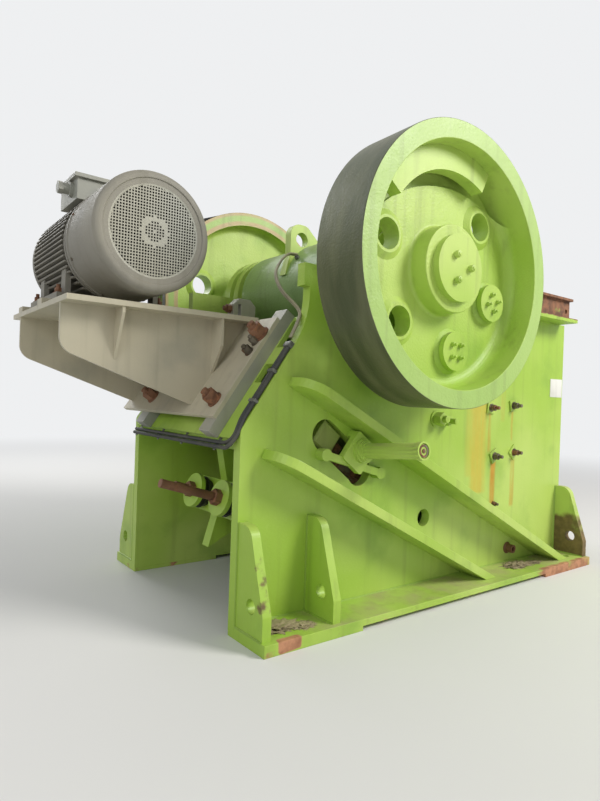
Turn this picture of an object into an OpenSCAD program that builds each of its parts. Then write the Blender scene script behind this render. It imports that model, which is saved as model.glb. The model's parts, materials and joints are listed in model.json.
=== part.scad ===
// Single-toggle jaw crusher with welded side plates and its motor on a rear bracket.
// Millimetres. +X is the feed end, -X the motor end, +Y the belt side, +Z up.
// The origin is the middle of the four foundation bolt holes, at the underside of the feet.

/* [Frame] */
// Length of the base
base_l = 3000; // [2850:10:3200]
// Clear width between the side plates
inner_w = 1230; // [1150:10:1320]
// Thickness of a side plate
side_t = 60; // [40:2:80]
// Height of the side plates beside the feed opening
side_z = 1854; // [1840:2:1900]
// Height of the upright rear edge of a side plate
rear_edge_z = 1030; // [950:5:1080]
// Radius where the rear slope turns upright
slope_r = 480; // [300:10:560]
// Length of the upright edge under the bearing, from the slope's end
pedestal_z = 1800; // [1780:2:1830]

/* [Feet] */
// Width of the foot flange outside the side plate
foot_w = 270; // [240:5:320]
// Thickness of the foot flange
foot_t = 35; // [25:1:50]
// Thickness of the pads under the flange ends
pad_t = 25; // [15:1:40]
// Length of a pad
pad_l = 620; // [550:10:700]
// Diameter of a foundation bolt hole
bolt_d = 60; // [40:1:70]
// Distance of a bolt hole from the end of the base
bolt_in = 140; // [120:5:160]
// Distance of a bolt hole from the side plate
bolt_out = 150; // [120:5:170]
// Height of a foot gusset above the flange
gusset_h = 515; // [400:5:600]
// Width of a foot gusset at the flange
gusset_w = 240; // [200:5:265]
// Thickness of a foot gusset
gusset_t = 50; // [30:1:60]
// Diameter of the eye in a foot gusset
eye_d = 75; // [50:1:90]

/* [Ribs] */
// Distance that a long rib stands out
rib_w = 200; // [150:5:250]
// Thickness of a long rib
rib_t = 50; // [30:1:60]
// Fall of the long ribs towards the feed end
rib_a = 26.6; // [22:0.1:30]

/* [Shaft and wheels] */
// Distance of the shaft from the rear end of the base
shaft_back = 1021; // [1000:1:1050]
// Height of the shaft
shaft_z = 1920; // [1900:1:1950]
// Diameter of the shaft in its bearings
journal_d = 260; // [200:2:280]
// Diameter of the shaft in the wheel hubs
shaft_end_d = 230; // [180:2:240]
// Throw of the eccentric
throw = 16; // [10:1:20]
// Diameter of a flywheel
wheel_d = 1500; // [1400:10:1560]
// Width of a flywheel rim
wheel_w = 325; // [290:1:350]
// Radial thickness of a flywheel rim
rim_t = 100; // [80:1:120]
// Thickness of a flywheel web
web_t = 65; // [45:1:80]
// Distance of the web behind the rim's outer face
web_in = 181; // [160:1:190]
// Gap between a side plate and the wheel beside it
wheel_gap = 206; // [195:1:220]
// Diameter of a wheel hub
hub_d = 470; // [420:2:500]
// Diameter of a hole in the web
web_hole_d = 160; // [120:2:180]
// Circle on which the web holes lie
web_pcd = 886; // [840:2:920]
// Direction of the counterweight above level
weight_a = 103.7; // [90:0.1:120]

/* [Jaws] */
// Gap between the jaws at the top
gape = 880; // [820:5:920]
// Gap between the jaws at the bottom
setting = 160; // [120:5:200]
// Height of the lower end of the jaw plates
jaw_z0 = 300; // [280:5:330]
// Height of the upper end of the jaw plates
jaw_z1 = 1810; // [1780:5:1830]
// Thickness of a jaw plate over its teeth
jaw_t = 95; // [80:1:110]
// Spacing of the teeth
tooth_pitch = 88; // [70:1:110]
// Height of a tooth
tooth_h = 34; // [20:1:40]
// Thickness of a cheek plate
cheek_t = 40; // [25:1:50]

/* [Motor] */
// Distance of the motor shaft behind the rear end of the base
motor_back = 345; // [330:1:380]
// Height of the motor shaft
motor_z = 2005; // [1990:1:2030]
// Diameter of the fan cowl
cowl_d = 610; // [580:2:640]
// Diameter over the cooling fins
fin_d = 620; // [600:2:650]
// Diameter of the motor pulley
pulley_d = 340; // [300:2:380]
// Number of belts
belt_n = 6; // [4:1:7]
// Spacing of the belts
belt_pitch = 37; // [34:0.5:40]
// Height of the motor platform
deck_z = 1655; // [1640:1:1665]
// Thickness of the motor platform
deck_t = 28; // [20:1:35]

/* [Hidden] */
rear_x = -base_l / 2;
front_x = base_l / 2;
in_y = inner_w / 2;
out_y = in_y + side_t;
foot_z = pad_t + foot_t;
slope_a = 55.35;
bolt_x = front_x - bolt_in;
bolt_y = out_y + bolt_out;
clear = 0.3;
seam = 0.05;
run_gap = 12;

shaft_x = rear_x + shaft_back;
pedestal_half = 621;
pedestal_x0 = shaft_x - pedestal_half;
pedestal_x1 = shaft_x + pedestal_half;
seat_foot_t = 120;
seat_foot_out = 40;
slope_top_z = rear_edge_z + (pedestal_x0 - rear_x) * tan(slope_a);
seat_r = 300;
housing_r = 330;
housing_in = 70;
housing_out = 100;
journal_r = journal_d / 2;
end_r = shaft_end_d / 2;
fit_gap = 0.08;
collar_r = journal_r + 20;
barrel_r = 330;
barrel_y = in_y - 115;
eccentric_r = journal_r + 35;
barrel_bore_r = eccentric_r + throw + 10;

wheel_r = wheel_d / 2;
rim_r = wheel_r - rim_t;
wheel_y0 = out_y + wheel_gap;
wheel_y1 = wheel_y0 + wheel_w;
web_y1 = wheel_y1 - web_in;
web_y0 = web_y1 - web_t;
hub_r = hub_d / 2;
hub_y0 = wheel_y0 - 11;
hub_y1 = web_y1 + 110;
cap_t = 38;
cap_r = hub_r - 55;
boss_h = 22;
pocket_floor = 22;
plate_r = 108;
plate_t = 30;
pocket_r = wheel_r + 106;
pocket_c = -396;
pocket_rim_r = rim_r - 4;
weight_span = 80;
weight_t = 75;
weight_in = 86;
weight_r0 = rim_r - 130;

wedge_a = 37.5;
slot_r = 88;
slot_p0 = [rear_x + 540, 1000];
slot_p1 = [rear_x + 800, 794];
slot_l = norm(slot_p1 - slot_p0) + 2 * slot_r;
wedge_w = 2 * slot_r - 26;
wedge_t = 75;
wedge_s = 44;
seat_block_t = 130;

jaw_bottom = [shaft_x + 1289, jaw_z0];
jaw_top = [shaft_x + 1559, jaw_z1];
fixed_a = atan2(jaw_top.x - jaw_bottom.x, jaw_z1 - jaw_z0);
swing_bottom = [jaw_bottom.x - setting, jaw_z0];
swing_top = [jaw_top.x - gape, jaw_z1];
swing_a = atan2(swing_top.x - swing_bottom.x, jaw_z1 - jaw_z0);
swing_y = in_y - cheek_t - run_gap;
jaw_l = (jaw_z1 - jaw_z0) / cos(fixed_a);
swing_l = (jaw_z1 - jaw_z0) / cos(swing_a);

rim_flange_w = 145;
rim_flange_t = 30;
rim_z = side_z + rim_flange_t;
rim_web_h = 141;
rim_web_t = 20;
rim_x0 = pedestal_x1 + 60;
rim_x1 = front_x - 70;

motor_x = rear_x - motor_back;
cowl_r = cowl_d / 2;
cowl_face_r = cowl_r - 35;
cowl_wall = 5;
grille_hole_r = cowl_face_r - 35;
fin_r = fin_d / 2;
core_r = fin_r - 42;
fin_t = 8;
fin_pitch = 27;
motor_foot_z = motor_z - 315;
deck_x0 = rear_x - 740;
deck_x1 = rear_x + 330;
deck_y1 = wheel_y0 - 11;
deck_y0 = deck_y1 - 1160;
rail_t = 65;
pull_x = deck_x1 + 60;
rail_w = 110;
rail_y = 430;
back_t = 25;
plate_recess = 10;
slope_plate_t = 30;

groove_w = 32;
groove_h = 28;
groove_a = 19;
belt_h = 19;
belt_proud = 1;
belt_y = (wheel_y0 + wheel_y1) / 2;
pulley_r = pulley_d / 2;
pulley_half = belt_n * belt_pitch / 2 + 12;
belt_gap = 0.45;

shield_y1 = belt_y - pulley_half - 52.5;
body_y1 = shield_y1 - 68;
body_y0 = body_y1 - 646;
cowl_y1 = body_y0 - 64;
cowl_y0 = cowl_y1 - 450;
grille_y0 = cowl_y0 + 5;

gusset_end = 5;
rib_low = [rear_x + 146, 935];
rib_high = [rear_x + 300, 1308];
round_hole_p = [rear_x + 1376, 468];

$fn = 96;

// Points of an arc of radius r that replaces the corner p between a and b
function unit(v) = v / norm(v);
function turn(d) = d > 180 ? d - 360 : d < -180 ? d + 360 : d;
function corner(a, p, b, r, n = 8) =
    let (u = unit(a - p), w = unit(b - p), h = acos(u * w) / 2)
    let (c = p + unit(u + w) * r / sin(h), s = p + u * r / tan(h), e = p + w * r / tan(h))
    let (a0 = atan2(s.y - c.y, s.x - c.x), d = turn(atan2(e.y - c.y, e.x - c.x) - a0))
    [for (i = [0:n]) c + r * [cos(a0 + d * i / n), sin(a0 + d * i / n)]];

// Outline from points given as [x, y, corner radius]
function flat(p) = [p.x, p.y];
function outline(ps) = [for (i = [0:len(ps) - 1])
    let (p = ps[i], a = ps[(i + len(ps) - 1) % len(ps)], b = ps[(i + 1) % len(ps)])
    each p[2] > 0 ? corner(flat(a), flat(p), flat(b), p[2]) : [flat(p)]];

// A point on a line of direction a through p, at distance s along it and t to its left
function along(p, a, s, t = 0) = p + s * [cos(a), sin(a)] + t * [-sin(a), cos(a)];

// Extrudes a shape drawn in X and Z from y0 to y1
module slab(y0, y1) {
    translate([0, y1, 0]) rotate([90, 0, 0]) linear_extrude(height = y1 - y0) children();
}

// Extrudes a shape drawn in Y and Z from x0 to x1
module plate_x(x0, x1) {
    translate([x0, 0, 0]) rotate([90, 0, 90]) linear_extrude(height = x1 - x0) children();
}

// A round bar along Y through the point p of the XZ plane
module bar_y(p, r, y0, y1) {
    translate([p.x, y1, p.y]) rotate([90, 0, 0]) cylinder(r = r, h = y1 - y0);
}

// Revolves a profile of radius and Y about the shaft at p
module turned(p) {
    translate([p.x, 0, p.y]) rotate([-90, 0, 0]) rotate_extrude() children();
}

// Axis of the main shaft and of the motor
function shaft_p() = [shaft_x, shaft_z];
function motor_p() = [motor_x, motor_z];

module far() {
    mirror([0, 1, 0]) children();
}

// Side plates
module slot_cut(r, y0, y1) {
    bar_y(slot_p0, r, y0, y1);
    bar_y(slot_p1, r, y0, y1);
    slab(y0, y1) polygon([
        along(slot_p0, -wedge_a, 0, -r), along(slot_p0, -wedge_a, slot_l - 2 * slot_r, -r),
        along(slot_p0, -wedge_a, slot_l - 2 * slot_r, r), along(slot_p0, -wedge_a, 0, r)]);
}

module side_plate_near() {
    color("yellowgreen") difference() {
        slab(-out_y, -in_y) polygon(outline([
            [rear_x, pad_t, 0], [rear_x, rear_edge_z, 60], [pedestal_x0, slope_top_z, slope_r],
            [pedestal_x0, pedestal_z, 0], [pedestal_x1, pedestal_z, 0],
            [pedestal_x1, side_z, 0], [front_x, side_z, 0], [front_x, pad_t, 0]]));
        bar_y(shaft_p(), seat_r, -out_y - 1, -in_y + 1);
        slot_cut(slot_r, -out_y - 1, -in_y + 1);
        bar_y(round_hole_p, 55, -out_y - 1, -in_y + 1);
    }
}

module side_plate_far() { far() side_plate_near(); }

// Foot flanges with pads at both ends
module base_flange_near() {
    color("yellowgreen") difference() {
        union() {
            translate([rear_x, -out_y - foot_w, pad_t]) cube([base_l, foot_w, foot_t]);
            for (x = [rear_x, front_x - pad_l])
                translate([x, -out_y - foot_w, 0]) cube([pad_l, foot_w + side_t, pad_t]);
        }
        for (x = [-bolt_x, bolt_x])
            translate([x, -bolt_y, -1]) cylinder(d = bolt_d, h = foot_z + 2);
    }
}

module base_flange_far() { far() base_flange_near(); }

// Long sloping ribs; each starts at p and runs down to the foot flange
module long_rib(p) {
    rib_l = (p.y - foot_z) / sin(rib_a) + 120;
    difference() {
        translate([p.x, -out_y - rib_w, p.y]) rotate([0, rib_a, 0])
            translate([0, 0, -rib_t]) linear_extrude(height = rib_t)
                polygon(outline([[0, 0, 140], [rib_l, 0, 0], [rib_l, rib_w, 0],
                    [0, rib_w, 0]]));
        translate([p.x, -out_y - rib_w - 1, foot_z - 400]) cube([base_l, rib_w + 2, 400]);
        translate([front_x - gusset_end - gusset_t - seam, -out_y - rib_w - 1, 0])
            cube([base_l, rib_w + 2, side_z]);
    }
}

module ribs_near() {
    color("yellowgreen") {
        long_rib(rib_low);
        long_rib(rib_high);
    }
}

module ribs_far() { far() ribs_near(); }

// Upright foot gussets with eyes
module gusset(x) {
    eye_y = out_y + 135;
    difference() {
        plate_x(x, x + gusset_t) polygon(outline([
            [-out_y, foot_z, 0], [-out_y, foot_z + gusset_h, 0],
            [-out_y - 110, foot_z + gusset_h, 75], [-out_y - gusset_w, foot_z + 115, 30],
            [-out_y - gusset_w, foot_z, 0]]));
        translate([x - 1, -eye_y, 200]) rotate([0, 90, 0])
            cylinder(d = eye_d, h = gusset_t + 2);
    }
}

module gussets_near() {
    color("yellowgreen") {
        gusset(rear_x + gusset_end);
        gusset(rear_x + 435);
        gusset(front_x - gusset_end - gusset_t);
    }
}

module gussets_far() { far() gussets_near(); }

// Front wall behind the fixed jaw, with ribs that brace it towards the feed end
wall_t = 60;
wall_rib_t = 45;
function wall_x(z) = jaw_bottom.x + (z - jaw_z0) * tan(fixed_a)
    + (jaw_t + seam) / cos(fixed_a);

module front_wall() {
    z0 = jaw_z0 - 80;
    rib_z0 = z0 + 20;
    rib_rise = (side_z - wall_rib_t - rib_z0) / 4;
    color("yellowgreen") {
        slab(-in_y, in_y) polygon([
            [wall_x(z0), z0], [wall_x(z0) + wall_t, z0],
            [wall_x(side_z) + wall_t, side_z], [wall_x(side_z), side_z]]);
        for (i = [0:4]) let (z = rib_z0 + i * rib_rise)
            slab(-in_y, in_y) polygon([
                [wall_x(z) + wall_t / 2, z], [front_x - 20, z],
                [front_x - 20, z + wall_rib_t],
                [wall_x(z + wall_rib_t) + wall_t / 2, z + wall_rib_t]]);
        for (y = [-in_y / 3, in_y / 3])
            slab(y - wall_rib_t / 2, y + wall_rib_t / 2) polygon([
                [wall_x(rib_z0) + wall_t / 2, rib_z0], [front_x - 60, rib_z0],
                [front_x - 60, side_z - 10], [wall_x(side_z - 10) + wall_t / 2, side_z - 10]]);
    }
}

// Sloping plate between the side plates that carries the motor rails
function slope_p(s, t) = along([rear_x, rear_edge_z], slope_a, s, t);
slope_s0 = -45;
slope_s1 = 765;

module slope_window(s0, s1) {
    slab(rail_y + rail_w / 2 + 14, in_y - 10) polygon([
        slope_p(s0, 0), slope_p(s1, 0), slope_p(s1, -100), slope_p(s0, -100)]);
}

module slope_plate() {
    color("olivedrab") difference() {
        slab(-in_y, in_y) polygon([
            slope_p(slope_s0, -plate_recess), slope_p(slope_s1, -plate_recess),
            slope_p(slope_s1, -plate_recess - slope_plate_t),
            slope_p(slope_s0, -plate_recess - slope_plate_t)]);
        for (s = [0, 1]) mirror([0, s, 0]) {
            slope_window(305, 430);
            slope_window(545, 735);
        }
    }
}

// Cross beam that takes the toggle's thrust; its face stands square to the wedge slot
function wedge_p(s, t) = along(slot_p0, -wedge_a, s - slot_r, t);
beam_low0 = wedge_p(wedge_s - seam, -200);
beam_low1 = wedge_p(-60, -260);

module rear_beam() {
    inner = -plate_recess - slope_plate_t - seam;
    color("olivedrab") slab(-in_y, in_y) polygon([
        slope_p(5, inner), slope_p(300, inner), wedge_p(wedge_s - seam, 270), beam_low0,
        beam_low1, wedge_p(-170, -190)]);
}

// Rim round the feed opening
module rim_strip(l) {
    translate([0, -rim_flange_w, 0]) cube([l, rim_flange_w + side_t, rim_flange_t]);
    translate([0, -75, rim_flange_t]) cube([l, rim_web_t, rim_web_h]);
    translate([0, -105, rim_flange_t + rim_web_h]) cube([l, 80, rim_web_t]);
}

module feed_rim_near() {
    color("yellowgreen") difference() {
        translate([rim_x0, -out_y, side_z]) rim_strip(rim_x1 - rim_x0);
        bar_y([rim_x1 - 50, rim_z + 62], 17, -out_y - 100, -out_y);
    }
}

module feed_rim_far() { far() feed_rim_near(); }

module feed_rim_front() {
    w = 2 * (out_y - side_t);
    color("yellowgreen") {
        translate([wall_x(side_z), -w / 2, side_z])
            cube([rim_x1 - wall_x(side_z), w, rim_flange_t]);
        translate([rim_x1 - 75, -out_y - 30 + 75, rim_z])
            cube([rim_web_t, 2 * out_y - 90, rim_web_h + rim_web_t]);
    }
}

// Main bearing housings, seated in the side plates
module bearing_housing_near() {
    color("yellowgreen") difference() {
        union() {
            bar_y(shaft_p(), seat_r - clear, -out_y - housing_out, -in_y + housing_in);
            bar_y(shaft_p(), housing_r, -out_y - housing_out + 25, -out_y);
            bar_y(shaft_p(), housing_r, -in_y, -in_y + housing_in - 15);
            translate([pedestal_x0 - seat_foot_out, -out_y, pedestal_z])
                cube([2 * pedestal_half + seat_foot_out, side_t, seat_foot_t]);
        }
        bar_y(shaft_p(), journal_r + fit_gap, -out_y - 200, -in_y + 200);
    }
}

module bearing_housing_far() { far() bearing_housing_near(); }

// Swing jaw: barrel on the eccentric, body behind the jaw plate, seat for the toggle
toggle_a = -24;
toggle_rear = wedge_p(wedge_s + 2 * wedge_t + seat_block_t - 40, -20);
toggle_l = 820;
toggle_front = along(toggle_rear, toggle_a, toggle_l, 0);
function swing_x(z) = swing_bottom.x + (z - jaw_z0) * tan(swing_a)
    - (jaw_t + seam) / cos(swing_a);

module pitman() {
    color("olivedrab") difference() {
        union() {
            bar_y(shaft_p(), barrel_r, -barrel_y, barrel_y);
            slab(-swing_y, swing_y) polygon([
                [swing_x(jaw_z1 + 40) - 120, jaw_z1 + 40], [swing_x(jaw_z1 + 40), jaw_z1 + 40],
                [swing_x(jaw_z0 - 30), jaw_z0 - 30], [swing_x(jaw_z0) - 140, jaw_z0 - 60],
                [swing_x(jaw_z0) - 220, jaw_z0 + 120]]);
            slab(-barrel_y, barrel_y) polygon([
                [shaft_x + 110, shaft_z + 311], [swing_x(jaw_z1) - 60, jaw_z1 + 30],
                [swing_x(jaw_z0) - 100, jaw_z0],
                [toggle_front.x + 60, toggle_front.y - 130],
                along(toggle_front, toggle_a, 55, -110), along(toggle_front, toggle_a, 55, 110),
                [shaft_x - 60, shaft_z - 324]]);
            for (y = [-rod_y, rod_y]) slab(y - 55, y + 55) hull() {
                polygon([rod_at(0, -75), rod_at(rod_lug_l, -75), rod_at(rod_lug_l, 75),
                    rod_at(0, 75)]);
                translate(toggle_front + [165, -15]) circle(r = 70);
            }
        }
        for (y = [-rod_y, rod_y]) translate([0, y, 0]) {
            rod_bar(rod_lug_l + 50, -50, rod_r + 5);
            rod_bar(0, -rod_nut_l - 40, 60);
        }
        bar_y(shaft_p(), barrel_bore_r, -barrel_y - 1, barrel_y + 1);
    }
}

// Lug for lifting the swing jaw, on top of the barrel
lug_p = [shaft_x - 201, shaft_z + 330];
lug_eye_r = 48;
module lifting_lug() {
    color("olivedrab") difference() {
        slab(-30, 30) polygon(outline([
            concat(lug_p + [-130, -250], 0), concat(lug_p + [-92, -110], 60),
            concat(lug_p + [-90, 98], 70), concat(lug_p + [38, 98], 70),
            concat(lug_p + [165, -12], 0), concat(lug_p + [165, -120], 0)]));
        bar_y(lug_p, lug_eye_r, -31, 31);
        bar_y(shaft_p(), barrel_r + clear, -31, 31);
    }
}

// Toothed jaw plate of length l, standing upright with its back at x = 0 and its foot at z = 0
module jaw_plate(l, half_w) {
    n = floor(2 * half_w / tooth_pitch);
    w0 = -n * tooth_pitch / 2;
    root = jaw_t - tooth_h;
    linear_extrude(height = l) polygon(concat(
        [[0, -half_w], [root, -half_w]],
        [for (i = [0:n - 1]) each [
            [root, w0 + i * tooth_pitch + 8],
            [jaw_t, w0 + (i + 0.5) * tooth_pitch - 12],
            [jaw_t, w0 + (i + 0.5) * tooth_pitch + 12],
            [root, w0 + (i + 1) * tooth_pitch - 8]]],
        [[root, half_w], [0, half_w]]));
}

module fixed_jaw_plate() {
    color("dimgray") translate([jaw_bottom.x, 0, jaw_z0]) rotate([0, fixed_a, 0])
        translate([jaw_t, 0, 0]) rotate([0, 0, 180]) jaw_plate(jaw_l, in_y - 5);
}

module moving_jaw_plate() {
    color("dimgray") translate([swing_bottom.x, 0, jaw_z0]) rotate([0, swing_a, 0])
        translate([-jaw_t, 0, 0]) jaw_plate(swing_l, swing_y);
}

// Cheek plates on the inner faces of the side plates
module cheek_plates() {
    jaw_gap = 8;
    for (s = [0, 1]) mirror([0, s, 0])
        color("gray") slab(-in_y, -in_y + cheek_t) polygon([
            [swing_top.x - jaw_t, jaw_z1], [jaw_top.x - jaw_gap, jaw_z1],
            [jaw_bottom.x - jaw_gap, jaw_z0], [swing_bottom.x - jaw_t, jaw_z0]]);
}

// Toggle between its two seats
module toggle_plate() {
    half = in_y - 75;
    color("slategray") slab(-half, half) polygon(outline([
        toggle_corner(seam, -35), toggle_corner(toggle_l - seam, -35),
        toggle_corner(toggle_l - seam, 35), toggle_corner(seam, 35)]));
}
function toggle_corner(s, t) = concat(along(toggle_rear, toggle_a, s, t), 12);

module toggle_seats() {
    half = in_y - 60;
    d0 = wedge_s + 2 * wedge_t + seam;
    color("dimgray") difference() {
        union() {
            slab(-half, half) polygon([
                wedge_p(d0, -100), wedge_p(d0 + seat_block_t, -100),
                wedge_p(d0 + seat_block_t, 75), wedge_p(d0, 75)]);
            slab(-half, half) polygon([
                along(toggle_front, toggle_a, -25, -90),
                along(toggle_front, toggle_a, 55 - seam, -90),
                along(toggle_front, toggle_a, 55 - seam, 90),
                along(toggle_front, toggle_a, -25, 90)]);
        }
        slab(-half - 1, half + 1) polygon([
            along(toggle_rear, toggle_a, 0, -36), along(toggle_rear, toggle_a, toggle_l, -36),
            along(toggle_rear, toggle_a, toggle_l, 36), along(toggle_rear, toggle_a, 0, 36)]);
    }
}

// Adjusting wedges; their ends show in the slots of the side plates
module wedge_square(y0, y1, inset) {
    half = wedge_w / 2 - inset;
    slab(y0, y1) polygon([
        wedge_p(wedge_s + inset, -half), wedge_p(wedge_s + 2 * wedge_t - inset, -half),
        wedge_p(wedge_s + 2 * wedge_t - inset, half), wedge_p(wedge_s + inset, half)]);
}

module wedge_blocks() {
    bevel = 14;
    for (s = [0, 1]) mirror([0, s, 0]) color("saddlebrown") {
        wedge_square(-in_y, -25, 0);
        hull() {
            wedge_square(-out_y + 4 + bevel, -in_y, 0);
            wedge_square(-out_y + 4, -out_y + 5, bevel);
        }
    }
}

// Hydraulic cylinder that draws the wedges, on a yoke across the slot
cyl_s = 312;
cyl_t = 62;
cyl_r = 43;
cyl_l = 462;
cyl_tilt = 5.5;
yoke_s = 300;
yoke_y = out_y + 35;
yoke_t = 40;
yoke_half = 85;
yoke_foot = 44;
yoke_lo = -50;
yoke_hi = slot_r + 50;
tie_a = slot_p0 + [-30, -102];
tie_b = slot_p1 + [124, -14];

module wedge_block(s, t0, t1, y0, y1, r) {
    slab(y0, y1) polygon(outline([
        concat(wedge_p(s - yoke_half, t0), r), concat(wedge_p(s + yoke_half, t0), r),
        concat(wedge_p(s + yoke_half, t1), r), concat(wedge_p(s - yoke_half, t1), r)]));
}

module adjusting_cylinder_near() {
    cyl_p = wedge_p(cyl_s, cyl_t);
    end_r = cyl_r + 5;
    color("olivedrab") {
        wedge_block(yoke_s, yoke_hi - yoke_foot, yoke_hi, -yoke_y, -out_y, 10);
        wedge_block(yoke_s, yoke_lo, yoke_hi, -yoke_y - yoke_t, -yoke_y, 15);
        translate([cyl_p.x, -yoke_y - yoke_t + 15, cyl_p.y]) rotate([90 - cyl_tilt, 0, 0])
            rotate_extrude() polygon([[0, 0], [68, 0], [68, 36], [58, 36], [58, 52], [50, 52],
                [50, 64], [cyl_r, 64], [cyl_r, cyl_l - 30], [end_r, cyl_l - 30],
                [end_r, cyl_l], [end_r - 9, cyl_l], [end_r - 9, cyl_l - 12],
                [end_r - 14, cyl_l - 12], [end_r - 14, cyl_l - 5], [0, cyl_l - 5]]);
        for (p = [tie_a, tie_b]) bar_y(p, 34, -out_y - 60, -out_y);
        slab(-out_y - 60, -out_y - 20) hull() {
            translate(tie_a) circle(r = 21);
            translate(tie_b) circle(r = 21);
        }
    }
}

module adjusting_cylinder_far() { far() adjusting_cylinder_near(); }

// Pull-back rods, their discs and rubber rings, and the bracket they bear on;
// distances along the rods count back from the swing jaw's lugs
rod_front = toggle_front + [90, -325];
rod_a = -16.5;
rod_r = 25;
rod_y = 165;
rod_nut_l = 60;
rod_lug_l = 60;
rod_tails = [1782, 1530];
bracket_s = 1262;
bracket_t = 38;
ring_l = 34;
disc_r = 106;
ring_s = bracket_s + bracket_t;
disc_s = ring_s + 2 * ring_l + 6;
nut_s = disc_s + 28;
function rod_at(s, t = 0) = along(rod_front, rod_a, -s, t);

module rod_bar(s0, s1, r) {
    q = rod_at(s0);
    translate([q.x, 0, q.y]) rotate([0, 90 - rod_a, 0]) cylinder(r = r, h = s0 - s1);
}

module on_rods() {
    for (s = [0, 1]) mirror([0, s, 0]) translate([0, -rod_y, 0]) children();
}

module rod_nut(s0, s1, r) {
    q = rod_at(s0);
    translate([q.x, 0, q.y]) rotate([0, 90 - rod_a, 0]) cylinder(r = r, h = s0 - s1, $fn = 6);
}

module tension_rod() {
    for (k = [0, 1]) translate([0, k == 0 ? -rod_y : rod_y, 0]) color("sienna") {
        rod_bar(rod_tails[k], -rod_nut_l, rod_r);
        rod_nut(nut_s + 40, nut_s, 48);
        rod_nut(-seam, -rod_nut_l, 48);
    }
}

module tension_buffer() {
    on_rods() color("darkolivegreen") difference() {
        union() {
            rod_bar(nut_s - seam, disc_s, disc_r);
            rod_bar(disc_s + 5, ring_s + seam, disc_r - 22);
            rod_bar(disc_s - ring_l, disc_s - ring_l - 6, disc_r - 6);
        }
        rod_bar(nut_s + 10, ring_s - 10, rod_r + clear);
    }
}

module rod_bracket() {
    reach = rod_y + disc_r;
    color("olivedrab") difference() {
        union() {
            slab(-reach, reach) polygon([
                rod_at(ring_s, -disc_r), rod_at(bracket_s, -disc_r),
                rod_at(bracket_s, disc_r), rod_at(ring_s, disc_r)]);
            slab(-38, 38) polygon([
                rod_at(ring_s, -300), rod_at(ring_s, disc_r), beam_low1, beam_low0,
                rod_at(bracket_s - 60, disc_r), rod_at(bracket_s - 130, -150)]);
        }
        on_rods() rod_bar(ring_s + 10, bracket_s - 10, rod_r + 8);
    }
}

// Rails on the rear slope, and the sliding bracket that carries the motor
module motor_rails() {
    for (y = [-rail_y, rail_y])
        color("darkgray") slab(y - rail_w / 2, y + rail_w / 2) polygon([
            slope_p(slope_s0 - 10, -plate_recess + seam), slope_p(slope_s1 + 5, -plate_recess + seam),
            slope_p(slope_s1 + 5, -plate_recess + rail_t),
            slope_p(slope_s0 - 10, -plate_recess + rail_t)]);
    color("darkgray") difference() {
        slab(-35, 35) polygon([
            slope_p(slope_s1 - 65, -plate_recess + seam), slope_p(slope_s1, -plate_recess + seam),
            [pull_x + 80, deck_z + 45], [pull_x + 80, deck_z + 105], [pull_x + 40, deck_z + 145],
            [pull_x - 40, deck_z + 145], [pull_x - 80, deck_z + 105], [pull_x - 80, deck_z + 12],
            [pull_x - 15, deck_z + 12]]);
        slab(-36, 36) polygon([
            [pull_x - 45, deck_z + 40], [pull_x - 25, deck_z + 40],
            [pull_x - 25, deck_z + 110], [pull_x - 45, deck_z + 110]]);
    }
}

module motor_bracket() {
    back0 = -plate_recess + rail_t + seam;
    web_ys = [deck_y0 + 130, deck_y1 - 170];
    color("gray") {
        translate([deck_x0, deck_y0, deck_z - deck_t])
            cube([deck_x1 - deck_x0, deck_y1 - deck_y0, deck_t]);
        slab(-rail_y - rail_w / 2, deck_y1 - 100) polygon([
            slope_p(20, back0), slope_p(690, back0), slope_p(690, back0 + back_t),
            slope_p(20, back0 + back_t)]);
        for (y = web_ys) slab(y - 10, y + 10) polygon(outline([
            [deck_x0 + 5, deck_z - deck_t + 1, 0], [deck_x0 + 5, 1400, 90],
            concat(slope_p(80, back0 + back_t - 1), 0), concat(slope_p(690, back0 + back_t - 1), 0),
            [slope_p(690, back0 + back_t - 1).x - 60, deck_z - deck_t + 1, 0]]));
        for (k = [[deck_x0 + 272, 30, 285], [deck_x1 - 235, 150, 320]])
            for (e = [[web_ys[0], deck_y0 + 10], [web_ys[1], deck_y1 - 10]])
                plate_x(k[0], k[0] + 16) polygon([
                    [e[0], deck_z - deck_t + 1], [e[1], deck_z - deck_t + 1],
                    [e[1], deck_z - deck_t - k[1]], [e[0], deck_z - deck_t - k[2]]]);
        plate_x(deck_x0 + 400, deck_x0 + 416) polygon([
            [web_ys[0], deck_z - deck_t + 1], [web_ys[1], deck_z - deck_t + 1],
            [web_ys[1], deck_z - deck_t - 150], [web_ys[0], deck_z - deck_t - 150]]);
    }
}

// Slide rails under the motor feet
slide_ys = [body_y0 + 95, body_y1 - 95];
module slide_rails() {
    for (y = slide_ys)
        color("gray") translate([motor_x - 390, y - 45, deck_z])
            cube([780, 90, motor_foot_z - deck_z]);
}

// Motor: finned body with feet and end shields
module fin_outline() {
    intersection() {
        circle(r = fin_r);
        union() {
            circle(r = core_r);
            for (i = [-9:9]) translate([-fin_r, i * fin_pitch - fin_t / 2])
                square([2 * fin_r, fin_t]);
        }
    }
}

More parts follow.
